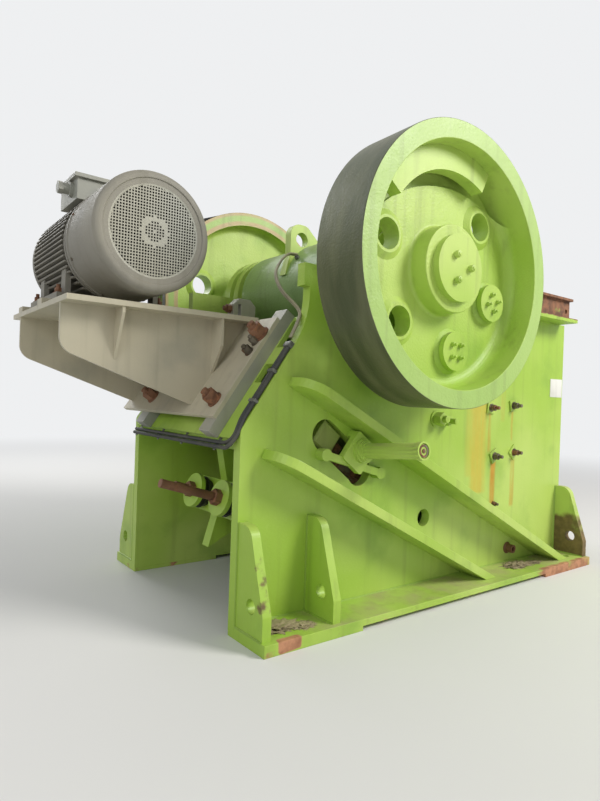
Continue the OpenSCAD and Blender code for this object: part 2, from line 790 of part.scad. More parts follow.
module motor_body() {
    color("gray") {
        difference() {
            union() {
                translate([motor_x, 0, motor_z]) slab(body_y0, body_y1) fin_outline();
                bar_y(motor_p(), cowl_r - cowl_wall - clear, cowl_y1 - 60, cowl_y1);
                bar_y(motor_p(), fin_r - 22, cowl_y1, body_y0);
                for (y = [cowl_y1, cowl_y1 + 35]) bar_y(motor_p(), fin_r - 8, y, y + 25);
                bar_y(motor_p(), fin_r - 8, body_y1, body_y1 + 40);
                bar_y(motor_p(), fin_r - 90, body_y1 + 40, shield_y1);
                for (s = [-1, 1])
                    translate([motor_x + s * 254 - 65, body_y0 + 30, motor_foot_z])
                        cube([130, body_y1 - body_y0 - 60, 40]);
                for (s = [-1, 1]) for (y = slide_ys)
                    translate([motor_x + s * 254 - 15, y - 40, motor_foot_z + 40])
                        cube([30, 80, 150]);
            }
            bar_y(motor_p(), 46, shield_y1 - 60, shield_y1 + 1);
            translate([tbox_x0 - 20, body_y0 + 20, tbox_z0]) cube([tbox_l + 60, 380, 200]);
        }
    }
}

// Fan cowl, a shell with a rounded front edge
module motor_cowl() {
    edge = 32;
    color("darkgray") turned(motor_p()) polygon(concat(
        [[cowl_r - cowl_wall, cowl_y1], [cowl_r + 4, cowl_y1], [cowl_r + 4, cowl_y1 - 22],
            [cowl_r, cowl_y1 - 24]],
        [for (i = [0:6]) [cowl_r - edge + edge * cos(i * 15),
            cowl_y0 + edge - edge * sin(i * 15)]],
        [[cowl_face_r - 6, cowl_y0], [cowl_face_r - 9, grille_y0], [grille_hole_r, grille_y0],
            [grille_hole_r, grille_y0 + cowl_wall], [cowl_r - cowl_wall - 25, grille_y0 + 10],
            [cowl_r - cowl_wall, cowl_y0 + edge]]));
}

// Grille in the cowl's face
module motor_grille() {
    r = grille_hole_r - clear;
    hole = 30;
    pitch = 44;
    color("silver") difference() {
        bar_y(motor_p(), r, grille_y0, grille_y0 + cowl_wall);
        for (i = [-4:4]) for (j = [-4:4])
            if (norm([i, j]) * pitch < r - 30 && norm([i, j]) * pitch > 60)
                translate([motor_x + i * pitch - hole / 2, grille_y0 - 1,
                    motor_z + j * pitch - hole / 2]) cube([hole, cowl_wall + 2, hole]);
    }
}

// Terminal box with lid and cable gland
tbox_x0 = motor_x - 225;
tbox_z0 = motor_z + 255;
tbox_l = 325;
tbox_h = 117;
module terminal_box() {
    y0 = body_y0 + 46;
    color("gray") {
        translate([tbox_x0, y0, tbox_z0]) cube([tbox_l, 320, tbox_h]);
        translate([tbox_x0 - 18, y0 - 18, tbox_z0 + tbox_h]) cube([tbox_l + 36, 356, 22]);
        translate([tbox_x0 - 20, y0 + 95, tbox_z0 + 68]) rotate([0, 90, 0]) cylinder(d = 84, h = 30);
        translate([tbox_x0 - 62, y0 + 95, tbox_z0 + 68]) rotate([0, 90, 0]) cylinder(d = 60, h = 60);
        translate([tbox_x0 - 80, y0 + 95, tbox_z0 + 68]) rotate([0, 90, 0])
            cylinder(d = 72, h = 26, $fn = 6);
    }
}

// Belts in the grooves of the far wheel and the motor pulley
wheel_from_motor = shaft_p() - motor_p();
belt_line_a = atan2(wheel_from_motor.y, wheel_from_motor.x);
belt_open_a = asin((wheel_r - pulley_r) / norm(wheel_from_motor));
belt_up_a = belt_line_a + belt_open_a + 90;
belt_wrap_a = 180 + 2 * belt_open_a;
function belt_half(d) = groove_w / 2 - d * tan(groove_a) - belt_gap;
band_t = 2.5;
belt_y0 = belt_y - (belt_n - 1) / 2 * belt_pitch;
belt_y1 = belt_y + (belt_n - 1) / 2 * belt_pitch;
function belt_section(r) = concat(
    [[r + belt_proud + band_t, belt_y0 - belt_half(-belt_proud)],
        [r + belt_proud + band_t, belt_y1 + belt_half(-belt_proud)]],
    [for (i = [0:belt_n - 1]) let (y = belt_y1 - i * belt_pitch) each [
        [r + belt_proud, y + belt_half(-belt_proud)], [r - belt_h, y + belt_half(belt_h)],
        [r - belt_h, y - belt_half(belt_h)], [r + belt_proud, y - belt_half(-belt_proud)]]]);
function belt_ring(p, r, a) = [for (q = belt_section(r))
    [p.x + q.x * cos(a), q.y, p.y + q.x * sin(a)]];

module v_belts(n_wheel = 60, n_pulley = 28) {
    rings = n_wheel + n_pulley + 2;
    n = 4 * belt_n + 2;
    color("black") polyhedron(
        points = concat(
            [for (i = [0:n_wheel])
                each belt_ring(shaft_p(), wheel_r, belt_up_a - belt_wrap_a * (1 - i / n_wheel))],
            [for (i = [0:n_pulley])
                each belt_ring(motor_p(), pulley_r,
                    belt_up_a + (360 - belt_wrap_a) * i / n_pulley)]),
        faces = [for (i = [0:rings - 1]) for (j = [0:n - 1])
            let (k = (i + 1) % rings, m = (j + 1) % n)
            [n * i + j, n * i + m, n * k + m, n * k + j]]);
}

// Profile points of the grooves in a rim of radius r, from low Y to high Y
function groove_points(r) = [for (i = [0:belt_n - 1])
    let (y = belt_y + (i - (belt_n - 1) / 2) * belt_pitch)
    let (b = groove_w / 2 - groove_h * tan(groove_a))
    each [[r, y - groove_w / 2], [r - groove_h, y - b], [r - groove_h, y + b],
        [r, y + groove_w / 2]]];

// Turning parts
module eccentric_shaft() {
    color("silver") {
        bar_y(shaft_p(), end_r, -hub_y1, hub_y1);
        bar_y(shaft_p(), journal_r, -hub_y0, hub_y0);
        bar_y(shaft_p(), collar_r, -in_y + housing_in + 5, in_y - housing_in - 5);
        bar_y(shaft_p() + [throw, 0], eccentric_r, -barrel_y + 40, barrel_y - 40);
    }
}

module wheel(grooves) {
    difference() {
        union() {
            turned(shaft_p()) polygon(outline(concat(
                [[end_r + fit_gap, hub_y0, 0], [hub_r - 30, hub_y0, 0],
                    [hub_r - 5, web_y0, 20], [rim_r, web_y0, 45], [rim_r, wheel_y0, 0],
                    [wheel_r, wheel_y0, 4]],
                [for (p = grooves) [p.x, p.y, 0]],
                [[wheel_r, wheel_y1, 4], [rim_r, wheel_y1, 4], [rim_r - 8, web_y1, 70],
                    [hub_r + 4, web_y1, 20], [hub_r, hub_y1, 6], [end_r + fit_gap, hub_y1, 0]])));
            for (k = [-2:2]) let (a = weight_a + 180 + k * 60)
                translate([web_pcd / 2 * cos(a), 0, web_pcd / 2 * sin(a)])
                    turned(shaft_p()) polygon([
                        [0, web_y0 - boss_h], [web_hole_d / 2 + 15, web_y0 - boss_h],
                        [web_hole_d / 2 + 50, web_y0 + 1], [web_hole_d / 2 + 50, web_y1 - 1],
                        [web_hole_d / 2 + 15, web_y1 + boss_h], [0, web_y1 + boss_h]]);
        }
        for (k = [-2:2]) let (a = weight_a + 180 + k * 60)
            bar_y(shaft_p() + web_pcd / 2 * [cos(a), sin(a)], web_hole_d / 2,
                web_y0 - boss_h - 1, web_y1 + boss_h + 1);
        difference() {
            bar_y(shaft_p(), pocket_rim_r, web_y0 + pocket_floor, wheel_y1 - weight_in + 4);
            bar_y(shaft_p() + pocket_c * [cos(weight_a), sin(weight_a)], pocket_r,
                web_y0, wheel_y1 - weight_in + 5);
        }
    }
}

module flywheel_near() { color("yellowgreen") far() wheel([]); }

module flywheel_far() { color("yellowgreen") wheel(groove_points(wheel_r)); }

module counterweight() {
    reach = 2 * wheel_r;
    intersection() {
        difference() {
            bar_y(shaft_p(), pocket_rim_r - clear, wheel_y1 - weight_in - weight_t,
                wheel_y1 - weight_in);
            bar_y(shaft_p(), weight_r0, web_y0, wheel_y1);
        }
        slab(web_y0, wheel_y1) polygon([shaft_p(),
            shaft_p() + reach * [cos(weight_a - weight_span / 2), sin(weight_a - weight_span / 2)],
            shaft_p() + reach * [cos(weight_a + weight_span / 2), sin(weight_a + weight_span / 2)]]);
    }
}

module counterweights() {
    color("yellowgreen") {
        counterweight();
        far() counterweight();
    }
}

module weight_plates() {
    for (s = [0, 1]) mirror([0, s, 0]) for (k = [0, 1])
        let (a = weight_a + 180 + k * 60)
        color("yellowgreen") bar_y(shaft_p() + web_pcd / 2 * [cos(a), sin(a)], plate_r,
            web_y1 + boss_h, web_y1 + boss_h + plate_t);
}

module hub_caps() {
    for (s = [0, 1]) mirror([0, s, 0])
        color("yellowgreen") bar_y(shaft_p(), cap_r, hub_y1, hub_y1 + cap_t);
}

module motor_shaft() {
    color("silver") bar_y(motor_p(), 45, shield_y1 - 59, belt_y + pulley_half - 20);
}

module motor_pulley() {
    y0 = belt_y - pulley_half;
    y1 = belt_y + pulley_half;
    color("dimgray") turned(motor_p()) polygon(concat(
        [[45 + fit_gap, y0 + 5], [95, y0 + 5], [100, belt_y - 25], [pulley_r - 50, belt_y - 25],
            [pulley_r - 46, y0], [pulley_r, y0]],
        groove_points(pulley_r),
        [[pulley_r, y1], [pulley_r - 46, y1], [pulley_r - 50, belt_y + 25],
            [100, belt_y + 25], [95, y1 - 30], [45 + fit_gap, y1 - 30]]));
}

side_plate_near();
side_plate_far();
base_flange_near();
base_flange_far();
ribs_near();
ribs_far();
gussets_near();
gussets_far();
front_wall();
rear_beam();
slope_plate();
feed_rim_near();
feed_rim_far();
feed_rim_front();
bearing_housing_near();
bearing_housing_far();
pitman();
lifting_lug();
fixed_jaw_plate();
moving_jaw_plate();
cheek_plates();
toggle_plate();
toggle_seats();
wedge_blocks();
adjusting_cylinder_near();
adjusting_cylinder_far();
tension_rod();
tension_buffer();
rod_bracket();
motor_rails();
motor_bracket();
slide_rails();
motor_body();
motor_cowl();
motor_grille();
terminal_box();
v_belts();
eccentric_shaft();
flywheel_near();
flywheel_far();
counterweights();
weight_plates();
hub_caps();
motor_shaft();
motor_pulley();
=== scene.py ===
"""Looks of a single-toggle jaw crusher: its finishes, fastenings, lamps and camera."""

import json
import logging
import math
from dataclasses import dataclass
from enum import Enum
from typing import Any, Sequence

import bmesh
import bpy
from mathutils import Matrix, Vector, noise

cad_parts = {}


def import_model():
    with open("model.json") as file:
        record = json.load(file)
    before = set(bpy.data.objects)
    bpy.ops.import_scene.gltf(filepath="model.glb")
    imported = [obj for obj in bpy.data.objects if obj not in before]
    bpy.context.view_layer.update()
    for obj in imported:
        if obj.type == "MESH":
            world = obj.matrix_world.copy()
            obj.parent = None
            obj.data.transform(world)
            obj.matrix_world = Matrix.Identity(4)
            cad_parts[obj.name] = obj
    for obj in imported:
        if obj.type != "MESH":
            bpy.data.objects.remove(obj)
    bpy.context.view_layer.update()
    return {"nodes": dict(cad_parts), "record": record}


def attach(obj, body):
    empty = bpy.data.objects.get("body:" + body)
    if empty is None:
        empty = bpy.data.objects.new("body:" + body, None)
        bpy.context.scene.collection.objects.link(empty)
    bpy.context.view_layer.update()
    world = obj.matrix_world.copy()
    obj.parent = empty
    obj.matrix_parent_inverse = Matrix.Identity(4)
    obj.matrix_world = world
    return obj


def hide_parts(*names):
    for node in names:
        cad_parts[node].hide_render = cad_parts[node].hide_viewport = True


LOG = logging.getLogger("jaw_crusher")
Color = tuple[float, float, float]
Point = tuple[float, float, float]
Pair = tuple[float, float]
Outline = tuple[Pair, ...]
Settings = dict[str, Any] | None
Inputs = dict[Any, Any] | None


def srgb(red: int, green: int, blue: int) -> Color:
    """A display colour as the linear colour that the shaders take.

    Args:
        red: Red from 0 to 255.
        green: Green from 0 to 255.
        blue: Blue from 0 to 255.

    Returns:
        The linear red, green and blue.
    """

    def channel(value: int) -> float:
        """One channel, from display to linear."""
        share = value / 255
        return share / 12.92 if share <= 0.04045 else ((share + 0.055) / 1.055) ** 2.4

    return channel(red), channel(green), channel(blue)


class Side(Enum):
    """The two sides of the machine along Y."""

    NEAR = -1
    FAR = 1


@dataclass(frozen=True)
class Layout:
    """Places that the dressing shares with the solids, in metres."""

    shaft: Pair = (-0.479, 1.92)
    motor: Pair = (-1.845, 2.005)
    plate_y: float = 0.675
    cap_y: float = 1.173
    boss_y: float = 1.077
    web_circle: float = 0.443
    weight_angle: float = 103.7
    grille_y: float = -0.355
    slope_foot: Pair = (-1.5, 1.03)
    slope_angle: float = 55.35

    def on_slope(self, along: float, out: float) -> Pair:
        """X and Z of a point by its way up the rear slope and out of it."""
        turn = math.radians(self.slope_angle)
        x, z = self.slope_foot
        return (
            x + along * math.cos(turn) - out * math.sin(turn),
            z + along * math.sin(turn) + out * math.cos(turn),
        )

    def off_slope(self) -> Point:
        """The way straight out of the rear slope."""
        turn = math.radians(self.slope_angle)
        return (-math.sin(turn), 0.0, math.cos(turn))


LAYOUT = Layout()


# Shader maths


class Signal:
    """The output of a shader node, with the arithmetic that the finishes use."""

    def __init__(self, graph: "Nodes", socket: bpy.types.NodeSocket) -> None:
        """Wraps a socket of that graph."""
        self.graph = graph
        self.socket = socket

    def _with(self, operation: str, first: Any, second: Any) -> "Signal":
        """A Math node on two values or links."""
        return self.graph.signal("ShaderNodeMath", {"operation": operation}, {0: first, 1: second})

    def __add__(self, other: Any) -> "Signal":
        """Sum."""
        return self._with("ADD", self, other)

    def __radd__(self, other: Any) -> "Signal":
        """Sum, reflected."""
        return self._with("ADD", other, self)

    def __sub__(self, other: Any) -> "Signal":
        """Difference."""
        return self._with("SUBTRACT", self, other)

    def __rsub__(self, other: Any) -> "Signal":
        """Difference, reflected."""
        return self._with("SUBTRACT", other, self)

    def __mul__(self, other: Any) -> "Signal":
        """Product."""
        return self._with("MULTIPLY", self, other)

    def __rmul__(self, other: Any) -> "Signal":
        """Product, reflected."""
        return self._with("MULTIPLY", other, self)

    def __truediv__(self, other: Any) -> "Signal":
        """Quotient."""
        return self._with("DIVIDE", self, other)

    def __pow__(self, other: Any) -> "Signal":
        """Power."""
        return self._with("POWER", self, other)

    def larger(self, other: Any) -> "Signal":
        """The larger of the two."""
        return self._with("MAXIMUM", self, other)

    def step(self, low: float, high: float) -> "Signal":
        """A smooth rise from 0 at low to 1 at high."""
        return self.graph.signal(
            "ShaderNodeMapRange",
            {"interpolation_type": "SMOOTHSTEP"},
            {"Value": self, "From Min": low, "From Max": high},
        )


class Nodes:
    """The node tree of a material or of the world."""

    def __init__(self, owner: bpy.types.Material | bpy.types.World) -> None:
        """Empties the owner's node tree."""
        owner.use_nodes = True
        self.tree = owner.node_tree
        self.tree.nodes.clear()

    def node(self, kind: str, settings: Settings = None, inputs: Inputs = None) -> bpy.types.Node:
        """Adds a node.

        Args:
            kind: The node's type.
            settings: Its properties, which are set first.
            inputs: Values or signals by input name or index.

        Returns:
            The node.
        """
        made = self.tree.nodes.new(kind)
        for key, value in (settings or {}).items():
            setattr(made, key, value)
        for key, value in (inputs or {}).items():
            if isinstance(value, Signal):
                self.tree.links.new(value.socket, made.inputs[key])
            elif isinstance(value, tuple) and len(made.inputs[key].default_value) == 4:
                made.inputs[key].default_value = (*value, 1.0)
            else:
                made.inputs[key].default_value = value
        return made

    def signal(self, kind: str, settings: Settings = None, inputs: Inputs = None,
               output: Any = 0) -> Signal:
        """Adds a node and returns one of its outputs as a signal."""
        return Signal(self, self.node(kind, settings, inputs).outputs[output])


class Graph(Nodes):
    """The nodes of one material, with the object's place to draw by."""

    def __init__(self, name: str) -> None:
        """Starts a material of that name."""
        self.material = bpy.data.materials.new(name)
        super().__init__(self.material)
        self.place = self.signal("ShaderNodeTexCoord", output="Object")
        self.x, self.y, self.z = (
            self.signal("ShaderNodeSeparateXYZ", inputs={0: self.place}, output=axis)
            for axis in "XYZ"
        )

    def noise(self, scale: float, detail: float = 4.0, stretch: Point | None = None) -> Signal:
        """Fractal noise at that many lumps a metre, about 0.5 on average."""
        where = self.place
        if stretch:
            where = self.signal(
                "ShaderNodeVectorMath", {"operation": "MULTIPLY"}, {0: self.place, 1: stretch}
            )
        return self.signal(
            "ShaderNodeTexNoise", inputs={"Vector": where, "Scale": scale, "Detail": detail}
        )

    def cells(self, scale: float) -> Signal:
        """Distance to the nearest of many scattered points."""
        return self.signal("ShaderNodeTexVoronoi", inputs={"Vector": self.place, "Scale": scale})

    def facing_up(self) -> Signal:
        """1 on faces that look up, 0 on upright ones."""
        normal = self.signal("ShaderNodeNewGeometry", output="Normal")
        up = self.signal("ShaderNodeSeparateXYZ", inputs={0: normal}, output="Z")
        return up.step(0.55, 0.95)

    def mix(self, share: Any, first: Any, second: Any) -> Signal:
        """Mixes two colours by share."""
        return self.signal(
            "ShaderNodeMix", {"data_type": "RGBA"}, {0: share, 6: first, 7: second}, output=2
        )

    def near(self, axis: Signal, low: float, high: float, soft: float) -> Signal:
        """1 between low and high on one axis, with soft ends."""
        return axis.step(low - soft, low) * (1 - axis.step(high, high + soft))

    def radius(self, centre: Pair) -> Signal:
        """Distance from an axis along Y through that X and Z."""
        across, up = self.x - centre[0], self.z - centre[1]
        return (across * across + up * up) ** 0.5

    def bumped(self, height: Signal, depth: float) -> Signal:
        """A normal that shows that height, depth metres from low to high."""
        return self.signal(
            "ShaderNodeBump", inputs={"Height": height, "Distance": depth}, output="Normal"
        )

    def surface(self, **inputs: Any) -> bpy.types.Material:
        """Ends the graph in a Principled surface with those inputs."""
        names = {"color": "Base Color", "rough": "Roughness", "metal": "Metallic"}
        shader = self.signal(
            "ShaderNodeBsdfPrincipled",
            inputs={names.get(key, key.title()): value for key, value in inputs.items()},
        )
        self.node("ShaderNodeOutputMaterial", inputs={"Surface": shader})
        return self.material


# Finishes


RUST_DARK = srgb(96, 66, 47)
RUST_WARM = srgb(142, 97, 67)
RUST_DULL = (srgb(98, 84, 51), srgb(124, 105, 66))
RUST_PALE = (srgb(150, 103, 74), srgb(190, 138, 104))
STAIN_OCHRE = srgb(202, 156, 42)
STAIN_YELLOW = srgb(216, 190, 62)
GRIME = srgb(74, 72, 42)
DUST = srgb(168, 152, 122)


@dataclass(frozen=True)
class RustRun:
    """A stain that runs down a side plate from a bolt."""

    x: float
    z: float
    drop: float
    half: float = 0.016
    amount: float = 0.8
    tone: Color = STAIN_OCHRE
    breaks: float = 0.28

    def mask(self, g: Graph) -> Signal:
        """Where the stain lies, from 0 to 1."""
        wander = (g.noise(3.0, 2.0) - 0.5) * 0.03
        across = ((g.x - self.x) + wander) / self.half
        body = 1 - (across * across).step(0.02, 1.4)
        fall = g.near(g.z, self.z - self.drop, self.z, 0.03)
        ragged = g.noise(1.0, 4.0, (30.0, 6.0, 3.5)).step(self.breaks, 0.62)
        return body * fall * ragged * self.amount


@dataclass(frozen=True)
class Patch:
    """A box within which rust or dirt breaks through the paint."""

    low: Point
    high: Point
    soft: float = 0.03
    amount: float = 1.0
    scale: float = 14.0
    fade: float = 0.0

    def mask(self, g: Graph) -> Signal:
        """Where the patch shows, from 0 to 1."""
        inside = (
            g.near(g.x, self.low[0], self.high[0], self.soft + self.fade)
            * g.near(g.y, self.low[1], self.high[1], self.soft)
            * g.near(g.z, self.low[2], self.high[2], self.soft)
        )
        broken = g.noise(self.scale, 7.0) + inside * self.amount * 0.72
        return broken.step(0.97, 1.16)


@dataclass(frozen=True)
class Finish:
    """A surface finish that covers whole pieces."""

    name: str

    def build(self) -> bpy.types.Material:
        """Makes the material."""
        return self.dress(Graph(self.name))

    def dress(self, g: Graph) -> bpy.types.Material:
        """Fills the graph; each finish has its own."""
        raise NotImplementedError


@dataclass(frozen=True)
class Paint(Finish):
    """Weathered paint on plate or on a casting."""

    coat: Color = srgb(156, 190, 66)
    faded: Color = srgb(180, 204, 102)
    deep: Color = srgb(118, 158, 52)
    gloss: float = 0.44
    grain: float = 0.0006
    streaks: float = 0.5
    chips: float = 1.0
    dusty: float = 0.6
    rust: tuple[Color, Color] = (RUST_DARK, RUST_WARM)
    runs: tuple[RustRun, ...] = ()
    patches: tuple[Patch, ...] = ()

    def base(self, g: Graph) -> Signal:
        """The paint's own colour before dirt and rust."""
        color = g.mix(g.noise(0.9, 3.0).step(0.36, 0.66), self.coat, self.faded)
        color = g.mix(g.noise(2.7, 5.0).step(0.52, 0.78) * 0.55, color, self.deep)
        return g.mix(g.noise(38.0, 3.0).step(0.55, 0.8) * 0.16, color, self.faded)

    def rusty(self, g: Graph) -> Signal:
        """The colour of rust."""
        return g.mix(g.noise(26.0, 5.0).step(0.3, 0.7), *self.rust)

    def dress(self, g: Graph) -> bpy.types.Material:
        """Paint, then grime streaks, dust, stains, patches and chips."""
        color = self.base(g)
        streak = g.noise(1.0, 5.0, (16.0, 16.0, 0.9)).step(0.5, 0.78) * self.streaks
        color = g.mix(streak * 0.45, color, GRIME)
        settle = g.facing_up() * g.noise(5.0, 6.0).step(0.3, 0.72) * self.dusty
        color = g.mix(settle * 0.75, color, DUST)
        rust = self.rusty(g)
        worn = settle
        for run in self.runs:
            stain = run.mask(g)
            color = g.mix(stain, color, g.mix(0.75, rust, run.tone))
            worn = worn.larger(stain)
        for patch in self.patches:
            bare = patch.mask(g)
            color = g.mix(bare, color, rust)
            worn = worn.larger(bare)
        chip = g.cells(17.0).step(0.02, 0.05)
        chip = (1 - chip) * g.noise(2.3, 2.0).step(0.52, 0.6) * self.chips
        color = g.mix(chip * 0.85, color, RUST_DARK)
        height = g.noise(85.0, 4.0) + g.noise(9.0, 3.0) * 1.6 - worn * 0.6 - chip
        rough = g.noise(3.5, 4.0) * 0.2 + (self.gloss - 0.1) + worn * 0.3
        return g.surface(color=color, rough=rough, normal=g.bumped(height, self.grain))


@dataclass(frozen=True)
class WheelPaint(Paint):
    """Paint on a cast flywheel, whose turned rim has lost it."""

    grooved: bool = False
    pale: Color = srgb(158, 188, 112)
    bare_dark: Color = srgb(72, 80, 50)
    bare_light: Color = srgb(102, 106, 74)
    turned_tan: Color = srgb(190, 164, 122)
    ring_edge: Pair = (0.648, 0.656)
    rim_edge: Pair = (0.7462, 0.7478)
    inner_lip: Pair = (0.655, 0.676)
    outer_lip: Pair = (0.718, 0.736)
    lip_soft: float = 0.012
    back_edge: Pair = (0.8825, 0.884)

    def base(self, g: Graph) -> Signal:
        """Paint, with a dull rim and, on the belt wheel, lips turned bare at the back."""
        radius = g.radius(LAYOUT.shaft)
        color = g.mix(radius.step(*self.ring_edge) * 0.7, super().base(g), self.pale)
        worn = g.noise(1.0, 4.0, (2.0, 9.0, 2.0)).step(0.3, 0.7)
        bare = g.mix(worn, self.bare_dark, self.bare_light)
        color = g.mix(radius.step(*self.rim_edge), color, bare)
        if self.grooved:
            lips = g.near(radius, *self.inner_lip, self.lip_soft)
            lips = lips.larger(radius.step(*self.outer_lip)) * (1 - g.y.step(*self.back_edge))
            turned = g.noise(4.0, 4.0).step(0.2, 0.5) * lips
            color = g.mix(turned * 0.9, color, self.turned_tan)
        return color


@dataclass(frozen=True)
class Metal(Finish):
    """Bare metal from turned steel to thick rust."""

    bright: Color = srgb(150, 148, 142)
    dull: Color = srgb(96, 92, 84)
    rust: float = 0.2
    metallic: float = 0.8
    rough: float = 0.42
    grain: float = 0.0004

    def dress(self, g: Graph) -> bpy.types.Material:
        """Metal with tarnish and rust in patches."""
        color = g.mix(g.noise(6.0, 5.0).step(0.35, 0.68), self.bright, self.dull)
        spread = g.noise(9.0, 6.0).step(0.72 - self.rust * 0.5, 0.8 - self.rust * 0.42)
        rust = g.mix(g.noise(40.0, 5.0).step(0.35, 0.66), RUST_DARK, RUST_WARM)
        color = g.mix(spread, color, rust)
        height = g.noise(160.0, 4.0) * 0.6 + spread * g.noise(60.0, 5.0)
        return g.surface(
            color=color,
            rough=spread * 0.35 + self.rough,
            metal=(1 - spread) * self.metallic,
            normal=g.bumped(height, self.grain),
        )


@dataclass(frozen=True)
class Rubber(Finish):
    """Rubber with dust in its surface."""

    tone: Color = srgb(34, 34, 33)
    dust: Color = srgb(96, 90, 78)
    share: float = 0.35
    rough: float = 0.62
    grain: float = 0.0003

    def dress(self, g: Graph) -> bpy.types.Material:
        """Dark rubber, dusty in patches."""
        powder = g.noise(7.0, 6.0).step(0.4, 0.75) * self.share
        color = g.mix(powder, self.tone, self.dust)
        normal = g.bumped(g.noise(220.0, 3.0), self.grain)
        return g.surface(color=color, rough=powder * 0.2 + self.rough, normal=normal)


@dataclass(frozen=True)
class BufferFinish(Paint):
    """Painted disc and dark rubber rings of the buffers on the pull-back rods; the rubber's
    near-black tone is also painted shade in the gaps between the discs.
    """

    # Near-black olive tone: the rubber's own colour, and also painted shade for the gaps between
    # the discs.
    rubber: Color = srgb(40, 44, 30)
    foot: Pair = (0.0224, 0.2063)
    way: Pair = (0.9588, 0.2840)
    disc: Pair = (1.371, 1.374)

    def base(self, g: Graph) -> Signal:
        """Rubber between the bracket and the disc, darkened as painted gap shade, and paint on the
        disc.
        """
        down = (g.z - self.foot[1]) * self.way[1] - (g.x - self.foot[0]) * self.way[0]
        return g.mix(down.step(*self.disc), self.rubber, super().base(g))


CHEEK_RUNS = (
    RustRun(0.425, 1.26, 0.66, 0.095, 0.72, STAIN_YELLOW, -0.1),
    RustRun(0.330, 1.22, 0.50, 0.060, 0.35, STAIN_YELLOW, 0.1),
    RustRun(0.544, 1.16, 0.28, 0.020, 0.65),
    RustRun(0.818, 1.18, 0.22, 0.016, 0.5),
    RustRun(0.602, 0.82, 0.34, 0.032, 1.0, breaks=0.1),
    RustRun(0.840, 0.84, 0.36, 0.030, 0.6, breaks=0.1),
    RustRun(0.700, 1.60, 0.5, 0.03, 0.25),
    RustRun(-0.700, 0.90, 0.3, 0.03, 0.3),
)


RIM_RUST = (
    Patch((0.1, -0.83, 1.88), (1.5, 0.83, 2.06), 0.01, 1.0, 11.0),
    Patch((0.1, -0.83, 1.97), (1.5, 0.83, 2.06), 0.01, 1.0, 4.0),
)
FOOT_RUST = (
    Patch((0.98, -0.96, -0.01), (1.51, -0.93, 0.07), 0.07, 1.0, 6.0, 0.5),
    Patch((-1.4, -0.96, 0.02), (-1.3, -0.925, 0.07), 0.04, 1.0, 6.0),
    Patch((0.7, 0.92, -0.01), (1.51, 0.96, 0.07), 0.12, 0.9, 8.0),
    Patch((-1.51, -0.96, -0.01), (1.51, 0.96, 0.026), 0.008, 0.6, 16.0),
)
GUSSET_RUST = (
    Patch((1.43, -0.96, 0.05), (1.5, -0.72, 0.30), 0.18, 0.98, 4.0),
    Patch((-1.5, -0.96, 0.2), (-1.44, -0.84, 0.42), 0.06, 0.7, 16.0),
)

